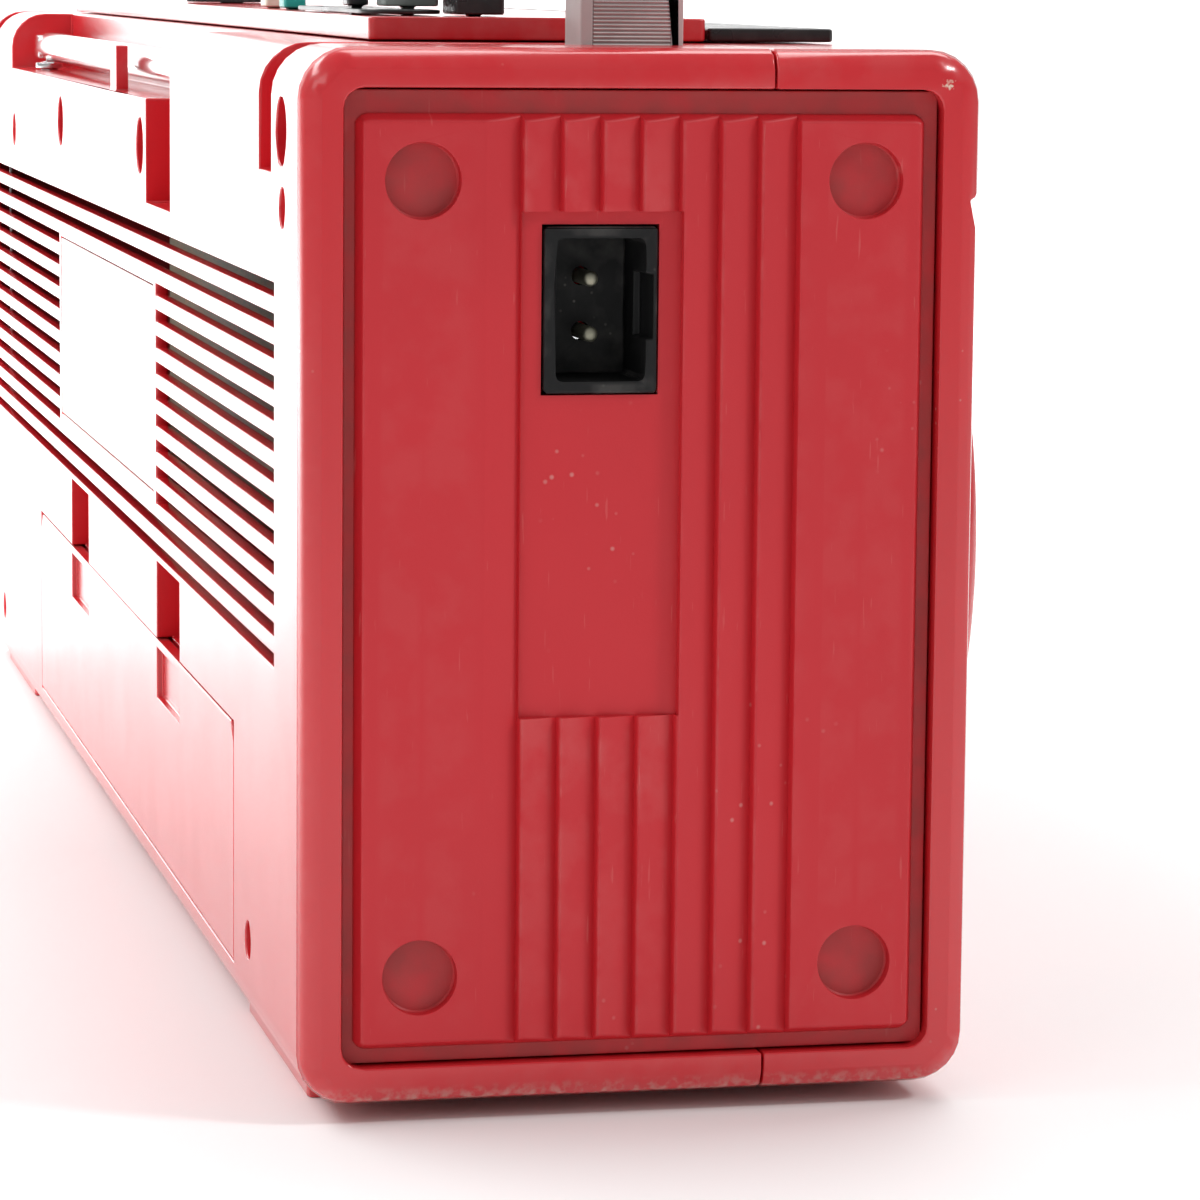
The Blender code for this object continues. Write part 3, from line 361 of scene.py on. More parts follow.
def soften(bm, width, segments=2, angle=42.0, shortest=0.0, where=None):
    """Round the edges that are sharper than an angle."""
    chosen = []
    for edge in bm.edges:
        if len(edge.link_faces) != 2 or edge.calc_length() < shortest:
            continue
        if edge.calc_face_angle(0.0) < math.radians(angle):
            continue
        if where is None or where((edge.verts[0].co + edge.verts[1].co) / 2):
            chosen.append(edge)
    bmesh.ops.bevel(
        bm, geom=chosen, offset=width, offset_type="OFFSET", segments=segments, profile=0.5,
        affect="EDGES", clamp_overlap=False, loop_slide=True, material=-1)
    return bm


def refined(node, width, material=None, segments=2, angle=42.0, shortest=0.0, smooth_angle=40.0,
            whole_faces=True):
    """A CAD node with its edges rounded the way moulded or stamped ones are."""
    bm = soften(cad_bmesh(node, whole_faces), width, segments, angle, shortest)
    piece = finish_mesh(node + "_look", bm, material or MATERIAL_OF[SLOT_OF[node]], smooth_angle)
    return stand_for(piece, node)


def add_block(bm, low, high, radius=0.0, segments=2):
    """A box with rounded edges, added to a bmesh."""
    low = Vector(low)
    high = Vector(high)
    made = bmesh.ops.create_cube(bm, size=1.0)["verts"]
    bmesh.ops.scale(bm, vec=high - low, verts=made)
    bmesh.ops.translate(bm, vec=(low + high) / 2, verts=made)
    if radius:
        edges = list({edge for vert in made for edge in vert.link_edges})
        bmesh.ops.bevel(
            bm, geom=edges, offset=radius, segments=segments, profile=0.5, affect="EDGES", clamp_overlap=True)


def lathe(bm, profile, centre, axis, steps=64, ripple=None):
    """Turn (radius, height) pairs about an axis. Ripple changes the radius with angle and height."""
    turn = Vector((0, 0, 1)).rotation_difference(Vector(axis)).to_matrix().to_4x4()
    frame_of = Matrix.Translation(centre) @ turn
    rings = []
    for radius, height in profile:
        if radius == 0:
            rings.append([bm.verts.new(frame_of @ Vector((0, 0, height)))])
            continue
        ring = []
        for step in range(steps):
            angle = 2 * math.pi * step / steps
            reach = radius + (ripple(angle, radius, height) if ripple else 0.0)
            point = Vector((reach * math.cos(angle), reach * math.sin(angle), height))
            ring.append(bm.verts.new(frame_of @ point))
        rings.append(ring)
    for first, second in zip(rings, rings[1:]):
        for step in range(steps):
            after = (step + 1) % steps
            quad = [first[step % len(first)], first[after % len(first)],
                    second[after % len(second)], second[step % len(second)]]
            unique = list(dict.fromkeys(quad))
            if len(unique) > 2:
                bm.faces.new(unique)


def loft(bm, rings, closed_ends=True):
    """Join rings that have the same number of points, and cap the two ends."""
    made = [[bm.verts.new(point) for point in ring] for ring in rings]
    for first, second in zip(made, made[1:]):
        for index in range(len(first)):
            after = (index + 1) % len(first)
            bm.faces.new((first[index], first[after], second[after], second[index]))
    if closed_ends:
        bm.faces.new(made[0])
        bm.faces.new(list(reversed(made[-1])))


def prism(bm, outline, low, high, place):
    """Extrude a flat outline between two levels. Place maps (u, v, level) to a point."""
    loft(bm, [[place(u, v, low) for u, v in outline], [place(u, v, high) for u, v in outline]])


def mesh_only(bm):
    mesh = bpy.data.meshes.new("tool")
    bmesh.ops.recalc_face_normals(bm, faces=bm.faces)
    bm.to_mesh(mesh)
    bm.free()
    return mesh


def carve(bm, tools, operation="DIFFERENCE"):
    """Boolean a bmesh with others and return the result as a new bmesh."""
    body = bpy.data.objects.new("carved", mesh_only(bm))
    bpy.context.scene.collection.objects.link(body)
    helpers = []
    for number, tool in enumerate(tools):
        helper = bpy.data.objects.new(f"carver_{number}", mesh_only(tool))
        bpy.context.scene.collection.objects.link(helper)
        step = body.modifiers.new(f"cut_{number}", "BOOLEAN")
        step.operation = operation
        step.solver = "EXACT"
        step.object = helper
        helpers.append(helper)
    graph = bpy.context.evaluated_depsgraph_get()
    result = bmesh.new()
    result.from_mesh(body.evaluated_get(graph).to_mesh())
    for obj in (body, *helpers):
        bpy.data.objects.remove(obj, do_unlink=True)
    return result


def arc(centre, radius, start, stop, count):
    angles = [math.radians(start + (stop - start) * i / count) for i in range(count + 1)]
    return [(centre[0] + radius * math.cos(a), centre[1] + radius * math.sin(a)) for a in angles]


# ---------------------------------------------------------------- case dimensions, read from the frame
SHELL_LOW, SHELL_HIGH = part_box("rear_shell")
FRONT_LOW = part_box("front_shell")[0]
END = SHELL_HIGH.x
REAR = SHELL_HIGH.y
FRONT = FRONT_LOW.y
TOP = SHELL_HIGH.z
BOTTOM = SHELL_LOW.z
MID_Y = (REAR + FRONT) / 2
MID_Z = (TOP + BOTTOM) / 2


# ---------------------------------------------------------------- end panels
RIBS = 7
RIB_PITCH = 0.0062
RIB_START = 0.0190
PAD_RISE = 0.0024
LOW_RISE = 0.0006
FLOOR_IN = 0.0025
PAD_REAR, PAD_FRONT = 0.0449, -0.0445
PAD_TALL = 0.0722
PAD_DROP = 0.0006
PAD_CORNER = 0.0024
DRAFT = 0.45
DIMPLE_Y, DIMPLE_Z, DIMPLE_R = 0.0347, 0.0614, 0.00585


def rib_height(fall):
    """Height over one slope: full at its start, rounding over and falling away to the next step."""
    return LOW_RISE + (PAD_RISE - LOW_RISE) * max(0.04, 1.0 - 1.0 * fall ** 1.35)


def pad_edge():
    """(distance in from the foot of the pad's wall, height) up the sloping wall and over its soft edge."""
    soft = 0.0004
    edge = [(-0.0002, -0.0003), (0.0, 0.0), (DRAFT * (PAD_RISE - soft) / 2, (PAD_RISE - soft) / 2)]
    wall_top = DRAFT * (PAD_RISE - soft)
    for step in range(5):
        turn = math.radians(90 * step / 4)
        edge.append((wall_top + soft * (1 - math.cos(turn)), PAD_RISE - soft * (1 - math.sin(turn))))
    return edge + [(wall_top + soft + away, PAD_RISE) for away in (0.0004, 0.0008, 0.0014)]


def rib_stations():
    """(y, height) across the panel from the rear edge to the front one."""
    stations = [(PAD_REAR - away, height) for away, height in pad_edge()]
    for slope in range(RIBS + 1):
        start = RIB_START + (1 - slope) * RIB_PITCH
        if slope:
            stations.append((start + 0.00022, PAD_RISE - 0.00060))
            stations.append((start + 0.00006, PAD_RISE - 0.00020))
            stations.append((start - 0.00016, PAD_RISE - 0.00003))
        else:
            stations.append((start, PAD_RISE))
        for fall in (0.06, 0.12, 0.24, 0.36, 0.48, 0.58, 0.68, 0.78, 0.86, 0.93):
            stations.append((start - fall * RIB_PITCH, rib_height(fall)))
    start -= RIB_PITCH
    stations += [
        (start + 0.00022, PAD_RISE - 0.00060), (start, PAD_RISE - 0.00012), (start - 0.00025, PAD_RISE)]
    return stations + [(PAD_FRONT + away, height) for away, height in pad_edge()[::-1]]


PLATE_HALF_Y = 0.0466
PLATE_HALF_Z = 0.0751


def panel_relief(bm, side):
    rings = []
    for y, height in rib_stations():
        inset = max(0.0, PAD_CORNER - min(PAD_REAR + 0.0002 - y, y - PAD_FRONT + 0.0002))
        corner = PAD_CORNER - math.sqrt(max(0.0, PAD_CORNER ** 2 - inset ** 2))
        high = max(height, 0.0)
        base = PAD_TALL - corner
        tall = base - DRAFT * high
        soft = min(0.0005, high * 0.45)
        profile = [
            (-base, -0.0004), (-base, 0.0), (-tall - DRAFT * soft, high - soft),
            (-tall + soft * 0.2, high - soft * 0.25), (-tall + soft, high),
            (tall - soft, high), (tall - soft * 0.2, high - soft * 0.25),
            (tall + DRAFT * soft, high - soft), (base, 0.0), (base, -0.0004)]
        rings.append([
            Vector((side * (END - FLOOR_IN + rise), MID_Y + y, MID_Z - PAD_DROP + z))
            for z, rise in profile])
    loft(bm, rings)


def end_panel(node, side, with_inlet):
    relief = bmesh.new()
    panel_relief(relief, side)
    plate = bmesh.new()
    inner = side * (END - 0.0083)
    outer = side * (END - FLOOR_IN)
    low_x, high_x = sorted((inner, outer))
    add_block(plate, (low_x, MID_Y - PLATE_HALF_Y, MID_Z - PLATE_HALF_Z),
              (high_x, MID_Y + PLATE_HALF_Y, MID_Z + PLATE_HALF_Z), 0.0003, 2)
    body = carve(relief, [plate], "UNION")
    tools = []
    face = END - FLOOR_IN + LOW_RISE
    dimple_floor = END - FLOOR_IN + 0.0001
    for y in (-1, 1):
        for z in (-1, 1):
            dimple = bmesh.new()
            outline = [(0, 0.0), (DIMPLE_R - 0.0003, 0.0), (DIMPLE_R, 0.0003), (DIMPLE_R, 0.006), (0, 0.006)]
            place = (side * dimple_floor, MID_Y + y * DIMPLE_Y, MID_Z + z * DIMPLE_Z)
            lathe(dimple, outline, place, (side, 0, 0), 72)
            tools.append(dimple)
    if with_inlet:
        inlet_low, inlet_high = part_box("ac_inlet")
        window = bmesh.new()
        add_block(window, (-END - 0.004, MID_Y - 0.0059, MID_Z - 0.0214),
                  (-face, MID_Y + 0.0193, MID_Z + 0.0567))
        hole = bmesh.new()
        add_block(hole, (-END - 0.004, inlet_low.y - 0.0003, inlet_low.z - 0.0003),
                  (-END + 0.02, inlet_high.y + 0.0003, inlet_high.z + 0.0003))
        tools += [window, hole]
    body = carve(body, tools)
    bmesh.ops.remove_doubles(body, verts=body.verts, dist=0.000004)

    def on_rim(point):
        if abs(point.x) < dimple_floor - 0.0003:
            return False
        for y in (-1, 1):
            for z in (-1, 1):
                away = Vector((point.y - MID_Y - y * DIMPLE_Y, point.z - MID_Z - z * DIMPLE_Z)).length
                if abs(away - DIMPLE_R) < 0.0003:
                    return True
        return False

    soften(body, 0.00022, 2, 50.0, 0.0, on_rim)
    return stand_for(finish_mesh(node + "_look", body, RED_GRAIN, 38.0), node)


# ---------------------------------------------------------------- mains inlet
def mains_inlet():
    refined("ac_inlet", 0.00035, INLET_BLACK, 2, 50.0, 0.0012)
    for name in ("ac_pin_upper", "ac_pin_lower"):
        low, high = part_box(name)
        centre = (low + high) / 2
        radius = (high.y - low.y) / 2
        length = high.x - low.x
        bm = bmesh.new()
        flat = radius * 0.6
        turns = [math.radians(a) for a in range(0, 91, 15)]
        tip = [(radius * math.sin(turn), flat * math.cos(turn)) for turn in turns]
        profile = [(r, length / 2 - flat + h) for r, h in tip]
        profile += [(radius, -length / 2), (0, -length / 2)]
        lathe(bm, profile, centre, (-1, 0, 0), 32)
        stand_for(finish_mesh(name + "_look", bm, PIN_METAL), name)


# ---------------------------------------------------------------- handle
RIDGE_SHAPE = ((0.10, 0.00022), (0.28, 0.00052), (0.50, 0.00062), (0.72, 0.00052), (0.90, 0.00022))


def handle():
    for side, sign in (("left", -1), ("right", 1)):
        node = f"handle_{side}_arm"
        low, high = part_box(node)
        arm_low, arm_high = low.x, high.x
        pin = 0.0019
        outer = (arm_low + pin) if sign < 0 else (arm_high - pin)
        body = cad_bmesh(node)
        centre_y = (low.y + high.y) / 2
        half = (high.y - low.y) / 2
        recess_low = low.z + half + 0.004
        recess_high = high.z - half + 0.004
        cutter = bmesh.new()
        in_x, out_x = sorted((outer - sign * 0.0006, outer + sign * 0.002))
        add_block(cutter, (in_x, centre_y - half + 0.0021, recess_low),
                  (out_x, centre_y + half - 0.0021, recess_high))
        body = carve(body, [cutter])
        soften(body, 0.0004, 2, 50.0)
        stand_for(finish_mesh(node + "_look", body, GREY, 40.0), node)
        ridges = bmesh.new()
        pitch = 0.00062
        count = int((recess_high - recess_low - 0.0002) / pitch)
        outline = [(recess_low + 0.0001, 0.0)]
        for ridge in range(count):
            start = recess_low + 0.0001 + ridge * pitch
            for along, rise in RIDGE_SHAPE:
                outline.append((start + along * pitch, rise))
        outline.append((recess_low + 0.0001 + count * pitch, 0.0))
        floor_x = outer - sign * 0.00062
        prism(ridges, outline, centre_y - half + 0.00215, centre_y + half - 0.00215,
              lambda z, rise, y, sign=sign, floor_x=floor_x: Vector((floor_x + sign * rise, y, z)))
        go_with(finish_mesh(f"{node}_ridges", ridges, GREY, 60.0), node)

    low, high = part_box("handle_grip")
    centre = (low + high) / 2
    bm = bmesh.new()
    rings = []
    half_y = (high.y - low.y) / 2
    half_z = (high.z - low.z) / 2
    length = (high.x - low.x) / 2
    stations = [(-1.0, 0.80), (-0.996, 0.90), (-0.985, 0.96), (-0.60, 1.0), (0.60, 1.0), (0.985, 0.96),
                (0.996, 0.90), (1.0, 0.80)]
    for place, size in stations:
        ring = []
        for step in range(48):
            angle = 2 * math.pi * step / 48
            c, s = math.cos(angle), math.sin(angle)
            reach = (abs(c) ** 3.2 + abs(s) ** 3.2) ** (-1 / 3.2)
            wide = half_y * size * reach
            high_by = half_z * size * reach
            ring.append(centre + Vector((length * place, wide * c, high_by * s)))
        rings.append(ring)
    loft(bm, rings)
    stand_for(finish_mesh("handle_grip_look", bm, GREY, 50.0), "handle_grip")
    pads = bmesh.new()
    count = 46
    span = 0.230
    for number in range(count):
        x = -span / 2 + span * (number + 0.5) / count
        add_block(pads, (x - 0.0016, centre.y - half_y * 0.72, high.z - 0.0012),
                  (x + 0.0016, centre.y + half_y * 0.72, high.z - 0.00005), 0.0004, 2)
    go_with(finish_mesh("handle_grip_bars", pads, GREY, 50.0), "handle_grip")


# ---------------------------------------------------------------- antenna
def antenna():
    refined("antenna_post", 0.0002, CHROME, 2, 60.0)
    refined("antenna_tube", 0.00022, CHROME, 2, 60.0)
    refined("antenna_middle", 0.00015, CHROME, 2, 60.0)
    low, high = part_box("antenna_tip")
    centre = (low + high) / 2
    knob = (high.z - low.z) / 2
    bm = bmesh.new()
    lathe(bm, [
        (0, 0), (knob * 0.72, 0), (knob * 0.92, 0.0003), (knob, 0.0009), (knob, 0.0048), (knob * 0.9, 0.0056),
        (knob * 0.62, 0.0062), (0.0015, 0.0064), (0.0015, high.x - low.x - 0.0002), (0.0013, high.x - low.x),
        (0, high.x - low.x)], (low.x, centre.y, centre.z), (1, 0, 0), 48)
    stand_for(finish_mesh("antenna_tip_look", bm, CHROME, 45.0), "antenna_tip")


# ---------------------------------------------------------------- knobs, keys and switches
def knurl(count, depth, rim):
    """Radial flutes on a knob's side only."""
    def ripple(angle, radius, height):
        return -depth * (0.5 - 0.5 * math.cos(count * angle)) if radius > rim else 0.0
    return ripple


def knobs():
    low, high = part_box("volume_knob")
    radius = (high.x - low.x) / 2
    tall = 0.0100
    base = high.z - tall
    centre = ((low.x + high.x) / 2, (low.y + high.y) / 2, base)
    bm = bmesh.new()
    rim = radius * 0.90
    lathe(bm, [
        (0, tall - 0.0006), (radius * 0.70, tall - 0.0006), (radius * 0.76, tall - 0.0001),
        (radius * 0.80, tall), (radius * 0.86, tall - 0.0001), (radius * 0.93, tall - 0.0009),
        (radius * 0.98, 0.0016),
        (radius, 0.0012), (radius, 0.0003), (0.0025, 0.0003), (0.0025, low.z - base), (0, low.z - base)],
        centre, (0, 0, 1), 216, knurl(36, 0.00035, rim))
    stand_for(finish_mesh("volume_knob_look", bm, BLACK_SATIN, 50.0), "volume_knob")
    mark = bmesh.new()
    add_block(mark, (centre[0] - 0.0004, centre[1] + radius * 0.30, high.z - 0.0008),
              (centre[0] + 0.0004, centre[1] + radius * 0.74, high.z - 0.0004), 0.0001, 1)
    go_with(finish_mesh("volume_knob_mark", mark, PRINT), "volume_knob")

    low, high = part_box("tuning_knob")
    radius = (high.x - low.x) / 2
    tall = 0.0045
    middle_x, middle_z = (low.x + high.x) / 2, (low.z + high.z) / 2
    bm = bmesh.new()
    lathe(bm, [
        (0, tall - 0.0010), (radius * 0.62, tall - 0.0008), (radius * 0.72, tall - 0.0001),
        (radius * 0.78, tall), (radius * 0.86, tall - 0.0002), (radius * 0.94, tall - 0.0009),
        (radius, 0.0007), (radius * 0.99, 0.0004),
        (0.0020, 0.0004), (0.0020, -0.0100), (0, -0.0100)],
        (middle_x, low.y + tall, middle_z), (0, -1, 0), 216, knurl(40, 0.0003, radius * 0.9))
    stand_for(finish_mesh("tuning_knob_look", bm, BLACK_SATIN, 50.0), "tuning_knob")


def slider(node, material, ribs):
    """A slider's knob with finger ribs across its top."""
    low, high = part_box(node)
    body = soften(cad_bmesh(node), 0.00035, 2, 50.0)
    piece = finish_mesh(node + "_look", body, material, 45.0)
    stand_for(piece, node)
    if not ribs:
        return
    bars = bmesh.new()
    span = (high.x - low.x) - 0.0012
    pitch = span / ribs
    for number in range(ribs):
        x = low.x + 0.0006 + (number + 0.5) * pitch
        add_block(bars, (x - pitch * 0.28, low.y + 0.0005, high.z - 0.0002),
                  (x + pitch * 0.28, high.y - 0.0005, high.z + 0.00035), 0.00015, 2)
    go_with(finish_mesh(node + "_ribs", bars, material, 50.0), node)


SYMBOLS = {
    "record_key": [arc((0, 0), 0.0019, 0, 345, 23)],
    "play_key": [[(-0.0018, -0.0019), (0.0021, 0.0), (-0.0018, 0.0019)]],
    "rewind_key": [[(0.0, -0.0017), (0.0, 0.0017), (-0.0029, 0.0)],
                   [(0.0031, -0.0017), (0.0031, 0.0017), (0.0002, 0.0)]],
    "forward_key": [[(0.0, 0.0017), (0.0, -0.0017), (0.0029, 0.0)],
                    [(-0.0031, 0.0017), (-0.0031, -0.0017), (-0.0002, 0.0)]],
    "stop_key": [[(-0.0017, -0.0017), (0.0017, -0.0017), (0.0017, 0.0017), (-0.0017, 0.0017)]],
    "pause_key": [[(-0.0017, -0.0018), (-0.0006, -0.0018), (-0.0006, 0.0018), (-0.0017, 0.0018)],
                  [(0.0006, -0.0018), (0.0017, -0.0018), (0.0017, 0.0018), (0.0006, 0.0018)]],
}


def tape_keys():
    for node, shapes in SYMBOLS.items():
        low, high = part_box(node)
        centre = (low + high) / 2
        half_x = (high.x - low.x) / 2
        half_y = (high.y - low.y) / 2
        bm = bmesh.new()
        rings = []
        levels = [(0.0, low.z), (0.0, high.z - 0.0012), (0.00012, high.z - 0.0006), (0.0005, high.z - 0.0001),
                  (0.0010, high.z), (0.0030, high.z - 0.0004), (0.0055, high.z - 0.0007)]
        for inset, z in levels:
            corner = 0.0008
            ring = []
            for cx, cy, start in ((1, 1, 0), (-1, 1, 90), (-1, -1, 180), (1, -1, 270)):
                px = centre.x + cx * (half_x - inset - corner)
                py = centre.y + cy * (half_y - min(inset, 0.0058) - corner)
                for x, y in arc((px, py), corner, start, start + 90, 4):
                    ring.append(Vector((x, y, z)))
            rings.append(ring)
        loft(bm, rings)
        stand_for(finish_mesh(node + "_look", bm, KEY_GREY, 45.0), node)
        mark = bmesh.new()
        for outline in shapes:
            prism(mark, outline, high.z - 0.0010, high.z - 0.00055,
                  lambda u, v, level, centre=centre: Vector((centre.x + u, centre.y + v, level)))
        go_with(finish_mesh(node + "_symbol", mark, PRINT, 30.0), node)


# ---------------------------------------------------------------- loudspeakers
GRILLE_HOLES = 0.0445
HOLE_PITCH = 0.0030
HOLE_R = 0.00105


def perforated_sheet(bm, centre, radius, front, thickness):
    """A round sheet of hexagonal cells, each with a round hole."""
    row_step = HOLE_PITCH * math.sqrt(3) / 2
    rows = int(radius / row_step) + 1
    outer = [(math.cos(math.radians(60 * i + 30)), math.sin(math.radians(60 * i + 30))) for i in range(6)]
    outer_r = HOLE_PITCH / math.sqrt(3)
    for row in range(-rows, rows + 1):
        shift = HOLE_PITCH / 2 if row % 2 else 0.0
        for column in range(-rows - 2, rows + 3):
            u = column * HOLE_PITCH + shift
            v = row * row_step
            if math.hypot(u, v) > radius:
                continue
            rim = []
            for index in range(6):
                a = outer[index]
                b = outer[(index + 1) % 6]
                rim.append((u + outer_r * a[0], v + outer_r * a[1]))
                rim.append((u + outer_r * (a[0] + b[0]) / 2, v + outer_r * (a[1] + b[1]) / 2))
            turns = [math.radians(30 * i + 30) for i in range(12)]
            hole = [(u + HOLE_R * math.cos(turn), v + HOLE_R * math.sin(turn)) for turn in turns]
            dome = 0.0009 * (1 - (math.hypot(u, v) / radius) ** 2)
            layers = []
            for y in (front - dome, front + thickness - dome):
                layers.append([bm.verts.new((centre[0] + p, y, centre[1] + q)) for p, q in rim])
                layers.append([bm.verts.new((centre[0] + p, y, centre[1] + q)) for p, q in hole])
            front_rim, front_hole, back_rim, back_hole = layers
            for index in range(12):
                after = (index + 1) % 12
                bm.faces.new((front_rim[index], front_rim[after], front_hole[after], front_hole[index]))
                bm.faces.new((back_rim[after], back_rim[index], back_hole[index], back_hole[after]))
                bm.faces.new((front_hole[index], front_hole[after], back_hole[after], back_hole[index]))
                bm.faces.new((front_rim[after], front_rim[index], back_rim[index], back_rim[after]))


def speakers():
    for side in ("left", "right"):
        node = f"speaker_grille_{side}"
        low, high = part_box(node)
        centre_x, centre_z = (low.x + high.x) / 2, (low.z + high.z) / 2
        radius = (high.x - low.x) / 2
        back = high.y
        bm = bmesh.new()
        lathe(bm, [
            (0.0440, 0.0), (0.0440, 0.0030), (0.0448, 0.0040), (0.0462, 0.0048), (0.0480, 0.0052),
            (0.0500, 0.0051), (0.0516, 0.0045), (0.0528, 0.0034), (radius - 0.0003, 0.0016),
            (radius, 0.0010), (radius, 0.0), (0.0440, 0.0)],
            (centre_x, back, centre_z), (0, -1, 0), 128)
        bmesh.ops.remove_doubles(bm, verts=bm.verts, dist=0.000004)
        ring = finish_mesh(node + "_look", bm, RED_GLOSS, 50.0)
        stand_for(ring, node)
        sheet = bmesh.new()
        perforated_sheet(sheet, (centre_x, centre_z), GRILLE_HOLES, back - 0.0022, 0.0006)
        bmesh.ops.remove_doubles(sheet, verts=sheet.verts, dist=0.00002)
        go_with(finish_mesh(node + "_sheet", sheet, BLACK_SATIN, 50.0), node)
        low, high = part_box(f"speaker_{side}")
        front = low.y
        driver = bmesh.new()
        lathe(driver, [
            (0, 0.0095), (0.006, 0.0098), (0.0105, 0.0118), (0.0125, 0.0168), (0.020, 0.0128),
            (0.030, 0.0082), (0.0380, 0.0044), (0.0392, 0.0028), (0.0405, 0.0018), (0.0422, 0.0012),
            (0.0440, 0.0020), (0.0452, 0.0004), (0.0462, 0.0), (0.0500, 0.0), (0.0500, 0.0020),
            (0.0440, 0.0040), (0.0240, 0.0215), (0.0225, 0.0225),
            (0.0225, high.y - front - 0.0004), (0.0221, high.y - front), (0, high.y - front)],
            ((low.x + high.x) / 2, front, (low.z + high.z) / 2), (0, 1, 0), 96)
        stand_for(finish_mesh(f"speaker_{side}_look", driver, CONE, 40.0), f"speaker_{side}")


# ---------------------------------------------------------------- dial
def text_mesh(name, body, size, place):
    curve = bpy.data.curves.new(name, "FONT")
    curve.body = body
    curve.size = size
    curve.extrude = 0.00006
    curve.align_x = "CENTER"
    curve.align_y = "CENTER"
    curve.resolution_u = 3
    holder = bpy.data.objects.new(name + "_curve", curve)
    bpy.context.scene.collection.objects.link(holder)
    graph = bpy.context.evaluated_depsgraph_get()
    bm = bmesh.new()
    bm.from_mesh(holder.evaluated_get(graph).to_mesh())
    bpy.data.objects.remove(holder, do_unlink=True)
    bmesh.ops.remove_doubles(bm, verts=bm.verts, dist=0.000005)
    upright = Matrix.Rotation(math.pi / 2, 4, "X")
    bmesh.ops.transform(bm, matrix=Matrix.Translation(place) @ upright, verts=bm.verts)
    return bm


def dial():
    low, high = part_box("dial_window")
    refined("dial_window", 0.0003, CLEAR)
    back = FRONT + 0.0041
    plate = bmesh.new()
    add_block(plate, (low.x, back - 0.0003, low.z), (high.x, back, high.z), 0.0001, 1)
    go_with(finish_mesh("dial_backing", plate, DIAL_BACK), "dial_window")
    marks = bmesh.new()
    face = back - 0.00035
    centre_z = (low.z + high.z) / 2
    span = 0.270
    for index in range(73):
        x = -span / 2 + span * index / 72
        long_mark = index % 8 == 0
        for sign in (-1, 1):
            inner = centre_z + sign * 0.0006
            outer = centre_z + sign * (0.0024 if long_mark else 0.0014)
            bottom, top = sorted((inner, outer))
            add_block(marks, (x - 0.00012, face, bottom), (x + 0.00012, face + 0.0001, top))
    add_block(marks, (-span / 2, face, centre_z - 0.00012), (span / 2, face + 0.0001, centre_z + 0.00012))
    for sign, numbers in ((1, (88, 90, 92, 94, 96, 98, 100, 104, 106, 108)),
                          (-1, (54, 60, 70, 80, 90, 100, 110, 120, 140, 160))):
        for index, number in enumerate(numbers):
            x = -span / 2 + span * index / 9
            glyphs = text_mesh(f"dial_{sign}_{number}", str(number), 0.0034,
                               (x, face + 0.00005, centre_z + sign * 0.0045))
            mesh = bpy.data.meshes.new("glyphs")
            glyphs.to_mesh(mesh)
            glyphs.free()
            marks.from_mesh(mesh)
            bpy.data.meshes.remove(mesh)
    go_with(finish_mesh("dial_scale", marks, PRINT, 30.0), "dial_window")
    refined("dial_pointer", 0.0001, POINTER, 1)


# ---------------------------------------------------------------- cassette door
def cassette_door():
    refined("cassette_door", 0.0005, RED_GLOSS, 3, 50.0)
    low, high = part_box("cassette_door")
    glass_low, glass_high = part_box("door_window")
    refined("door_window", 0.0003, CLEAR)
    trim = bmesh.new()
    front = low.y
    edge = 0.0018
    bars = [
        ((glass_low.x - edge, glass_high.z), (glass_high.x + edge, glass_high.z + edge)),
        ((glass_low.x - edge, glass_low.z - edge), (glass_high.x + edge, glass_low.z)),
        ((glass_low.x - edge, glass_low.z - edge), (glass_low.x, glass_high.z + edge)),
        ((glass_high.x, glass_low.z - edge), (glass_high.x + edge, glass_high.z + edge))]
    for (x0, z0), (x1, z1) in bars:
        add_block(trim, (x0, front - 0.0006, z0), (x1, front + 0.0004, z1), 0.0003, 2)
    for row in range(4):
        z = low.z + 0.0040 + row * 0.0032
        add_block(trim, (low.x + 0.008, front - 0.0004, z),
                  (high.x - 0.008, front + 0.0004, z + 0.0014), 0.0003, 2)
    go_with(finish_mesh("door_trim", trim, BLACK, 50.0), "cassette_door")
    refined("cassette_carrier", 0.0003, KEY_GREY, 2, 50.0)


# ---------------------------------------------------------------- inner mechanism
def mechanism():
    refined("mechanism_chassis", 0.0002, STEEL)
    refined("head_plate", 0.0002, STEEL, 2, 50.0)
    refined("flywheel", 0.0003, STEEL, 2, 50.0)
    refined("motor", 0.0004, STEEL, 2, 50.0)
    refined("motor_pulley", 0.00012, BRASS, 2, 60.0)
    refined("drive_belt", 0.00015, RUBBER, 2, 50.0)
    refined("pinch_roller", 0.0002, RUBBER, 2, 50.0)
    refined("reel_spindle_left", 0.00015, CREAM, 2, 60.0, 0.0004)
    refined("reel_spindle_right", 0.00015, CREAM, 2, 60.0, 0.0004)
    refined("circuit_board", 0.0002, BOARD, 2, 50.0)
    refined("transformer", 0.0005, STEEL, 2, 50.0)


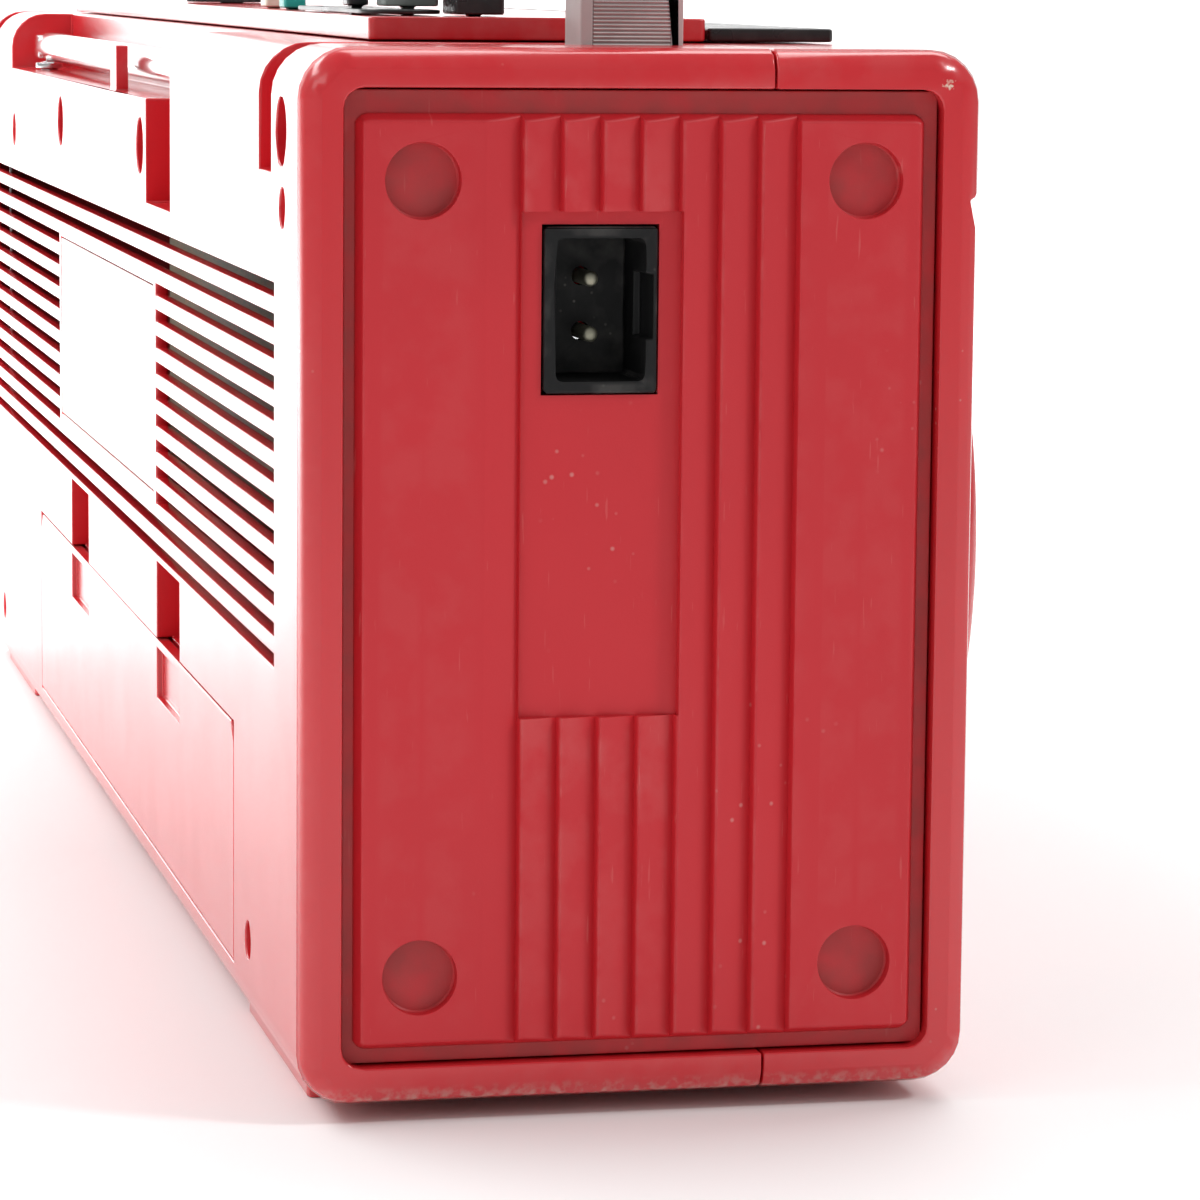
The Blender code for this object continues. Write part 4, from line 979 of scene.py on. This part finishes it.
# ---------------------------------------------------------------- screws
def screws():
    for number in range(1, 5):
        node = f"case_screw_{number}"
        low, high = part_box(node)
        centre = (low + high) / 2
        radius = (high.x - low.x) / 2
        bm = bmesh.new()
        lathe(bm, [
            (0, -0.0006), (0.0010, -0.0004), (0.0024, -0.0006), (0.0032, -0.0012), (radius, -0.0018),
            (radius, -0.0022), (0.0018, -0.0022), (0.0018, -0.0090), (0.0004, -0.0098), (0, -0.0098)],
            (centre.x, high.y, centre.z), (0, 1, 0), 40)
        for size_x, size_z in ((0.0019, 0.00035), (0.00035, 0.0019)):
            arm = bmesh.new()
            add_block(arm, (centre.x - size_x, high.y - 0.0017, centre.z - size_z),
                      (centre.x + size_x, high.y + 0.001, centre.z + size_z))
            bm = carve(bm, [arm])
        stand_for(finish_mesh(node + "_look", bm, STEEL, 40.0), node)


# ---------------------------------------------------------------- build all pieces
refined("rear_shell", 0.00035, RED_GLOSS, 2, 60.0, 0.0010, 50.0, False)
refined("front_shell", 0.00035, RED_GLOSS, 2, 60.0, 0.0010, 50.0, False)
end_panel("left_end_panel", -1, True)
end_panel("right_end_panel", 1, False)
mains_inlet()
handle()
antenna()
knobs()
slider("function_switch_knob", BLACK_SATIN, 0)
slider("tone_slider_knob", GREEN_GREY, 0)
slider("balance_slider_knob", BLACK_SATIN, 0)
slider("band_switch_knob", TEAL, 0)
slider("stereo_switch_knob", CREAM, 0)
tape_keys()
speakers()
dial()
cassette_door()
mechanism()
screws()
refined("top_deck", 0.0004, RED_GLOSS, 2, 50.0, 0.0006)
refined("control_plate", 0.0002, BLACK_SATIN, 2, 50.0)
refined("key_strip", 0.0004, BLACK_SATIN, 2, 50.0)
refined("rating_plate", 0.00015, WHITE, 2, 50.0)
refined("battery_cover", 0.0003, RED_GLOSS, 2, 50.0)
for foot in ("foot_front_left", "foot_front_right", "foot_rear_left", "foot_rear_right"):
    refined(foot, 0.0004, RED_GLOSS, 2, 50.0, 0.0008)


# ---------------------------------------------------------------- stage, lights and camera
def backdrop():
    """A pale sweep: floor, curve and wall in one sheet."""
    bm = bmesh.new()
    direction = Vector((0.968, -0.214, 0.0)).normalized()
    across = Vector((-direction.y, direction.x, 0.0))
    profile = [(-4.0, 0.0), (2.2, 0.0)]
    turns = [math.radians(a) for a in range(10, 91, 10)]
    profile += [(2.2 + 1.2 * math.sin(turn), 1.2 - 1.2 * math.cos(turn)) for turn in turns]
    profile.append((3.4, 4.0))
    rows = []
    for u, z in profile:
        rise = Vector((0, 0, z))
        rows.append([bm.verts.new(direction * u + across * w + rise) for w in (-5.0, 5.0)])
    for first, second in zip(rows, rows[1:]):
        bm.faces.new((first[0], first[1], second[1], second[0]))
    sheet = finish_mesh("floor_sweep", bm, floor_look(), 60.0)


def area_light(name, location, target, size, energy, colour=(1.0, 1.0, 1.0)):
    data = bpy.data.lights.new(name, "AREA")
    data.shape = "RECTANGLE"
    data.size, data.size_y = size
    data.energy = energy
    data.color = colour
    light = bpy.data.objects.new(name, data)
    light.location = location
    light.rotation_mode = "QUATERNION"
    light.rotation_quaternion = (Vector(target) - Vector(location)).to_track_quat("-Z", "Y")
    bpy.context.scene.collection.objects.link(light)


def camera():
    azimuth, elevation, roll = math.radians(257.538), math.radians(7.485), math.radians(0.548)
    forward = Vector((-math.sin(azimuth) * math.cos(elevation), math.cos(azimuth) * math.cos(elevation),
                      -math.sin(elevation)))
    right = forward.cross(Vector((0, 0, 1))).normalized()
    up = right.cross(forward)
    turned_right = right * math.cos(roll) + up * math.sin(roll)
    turned_up = up * math.cos(roll) - right * math.sin(roll)
    data = bpy.data.cameras.new("camera")
    data.lens = 144.0
    data.sensor_width = 36.0
    data.clip_start = 0.05
    data.clip_end = 50.0
    view = bpy.data.objects.new("camera", data)
    basis = Matrix((turned_right, turned_up, -forward)).transposed()
    place = Matrix.Translation((-END - 0.71612, MID_Y + 0.16505, MID_Z + 0.09334))
    view.matrix_world = place @ basis.to_4x4()
    bpy.context.scene.collection.objects.link(view)
    bpy.context.scene.camera = view


backdrop()
camera()
world = bpy.data.worlds.new("studio")
world.use_nodes = True
world.node_tree.nodes["Background"].inputs["Color"].default_value = (1.0, 0.995, 0.99, 1.0)
world.node_tree.nodes["Background"].inputs["Strength"].default_value = 0.38
bpy.context.scene.world = world
area_light("far_floor_light", (1.1, 0.9, 1.3), (2.3, 1.3, 0.0), (1.6, 1.4), 150.0)
area_light("top_light", (0.6, -0.6, 1.9), (0.5, -0.3, 0.0), (1.4, 1.2), 22.0)
area_light("key_light", (-1.0, -1.4, 1.6), (-0.27, 0.0, 0.08), (0.35, 0.35), 14.5)
area_light("rear_floor_light", (0.2, 0.85, 1.1), (0.3, 1.05, 0.0), (1.6, 0.5), 20.0)
area_light("fill_light", (-1.3, 1.1, 0.9), (-0.27, 0.0, 0.08), (0.7, 0.7), 2.5)
bpy.context.scene.view_settings.view_transform = "Standard"
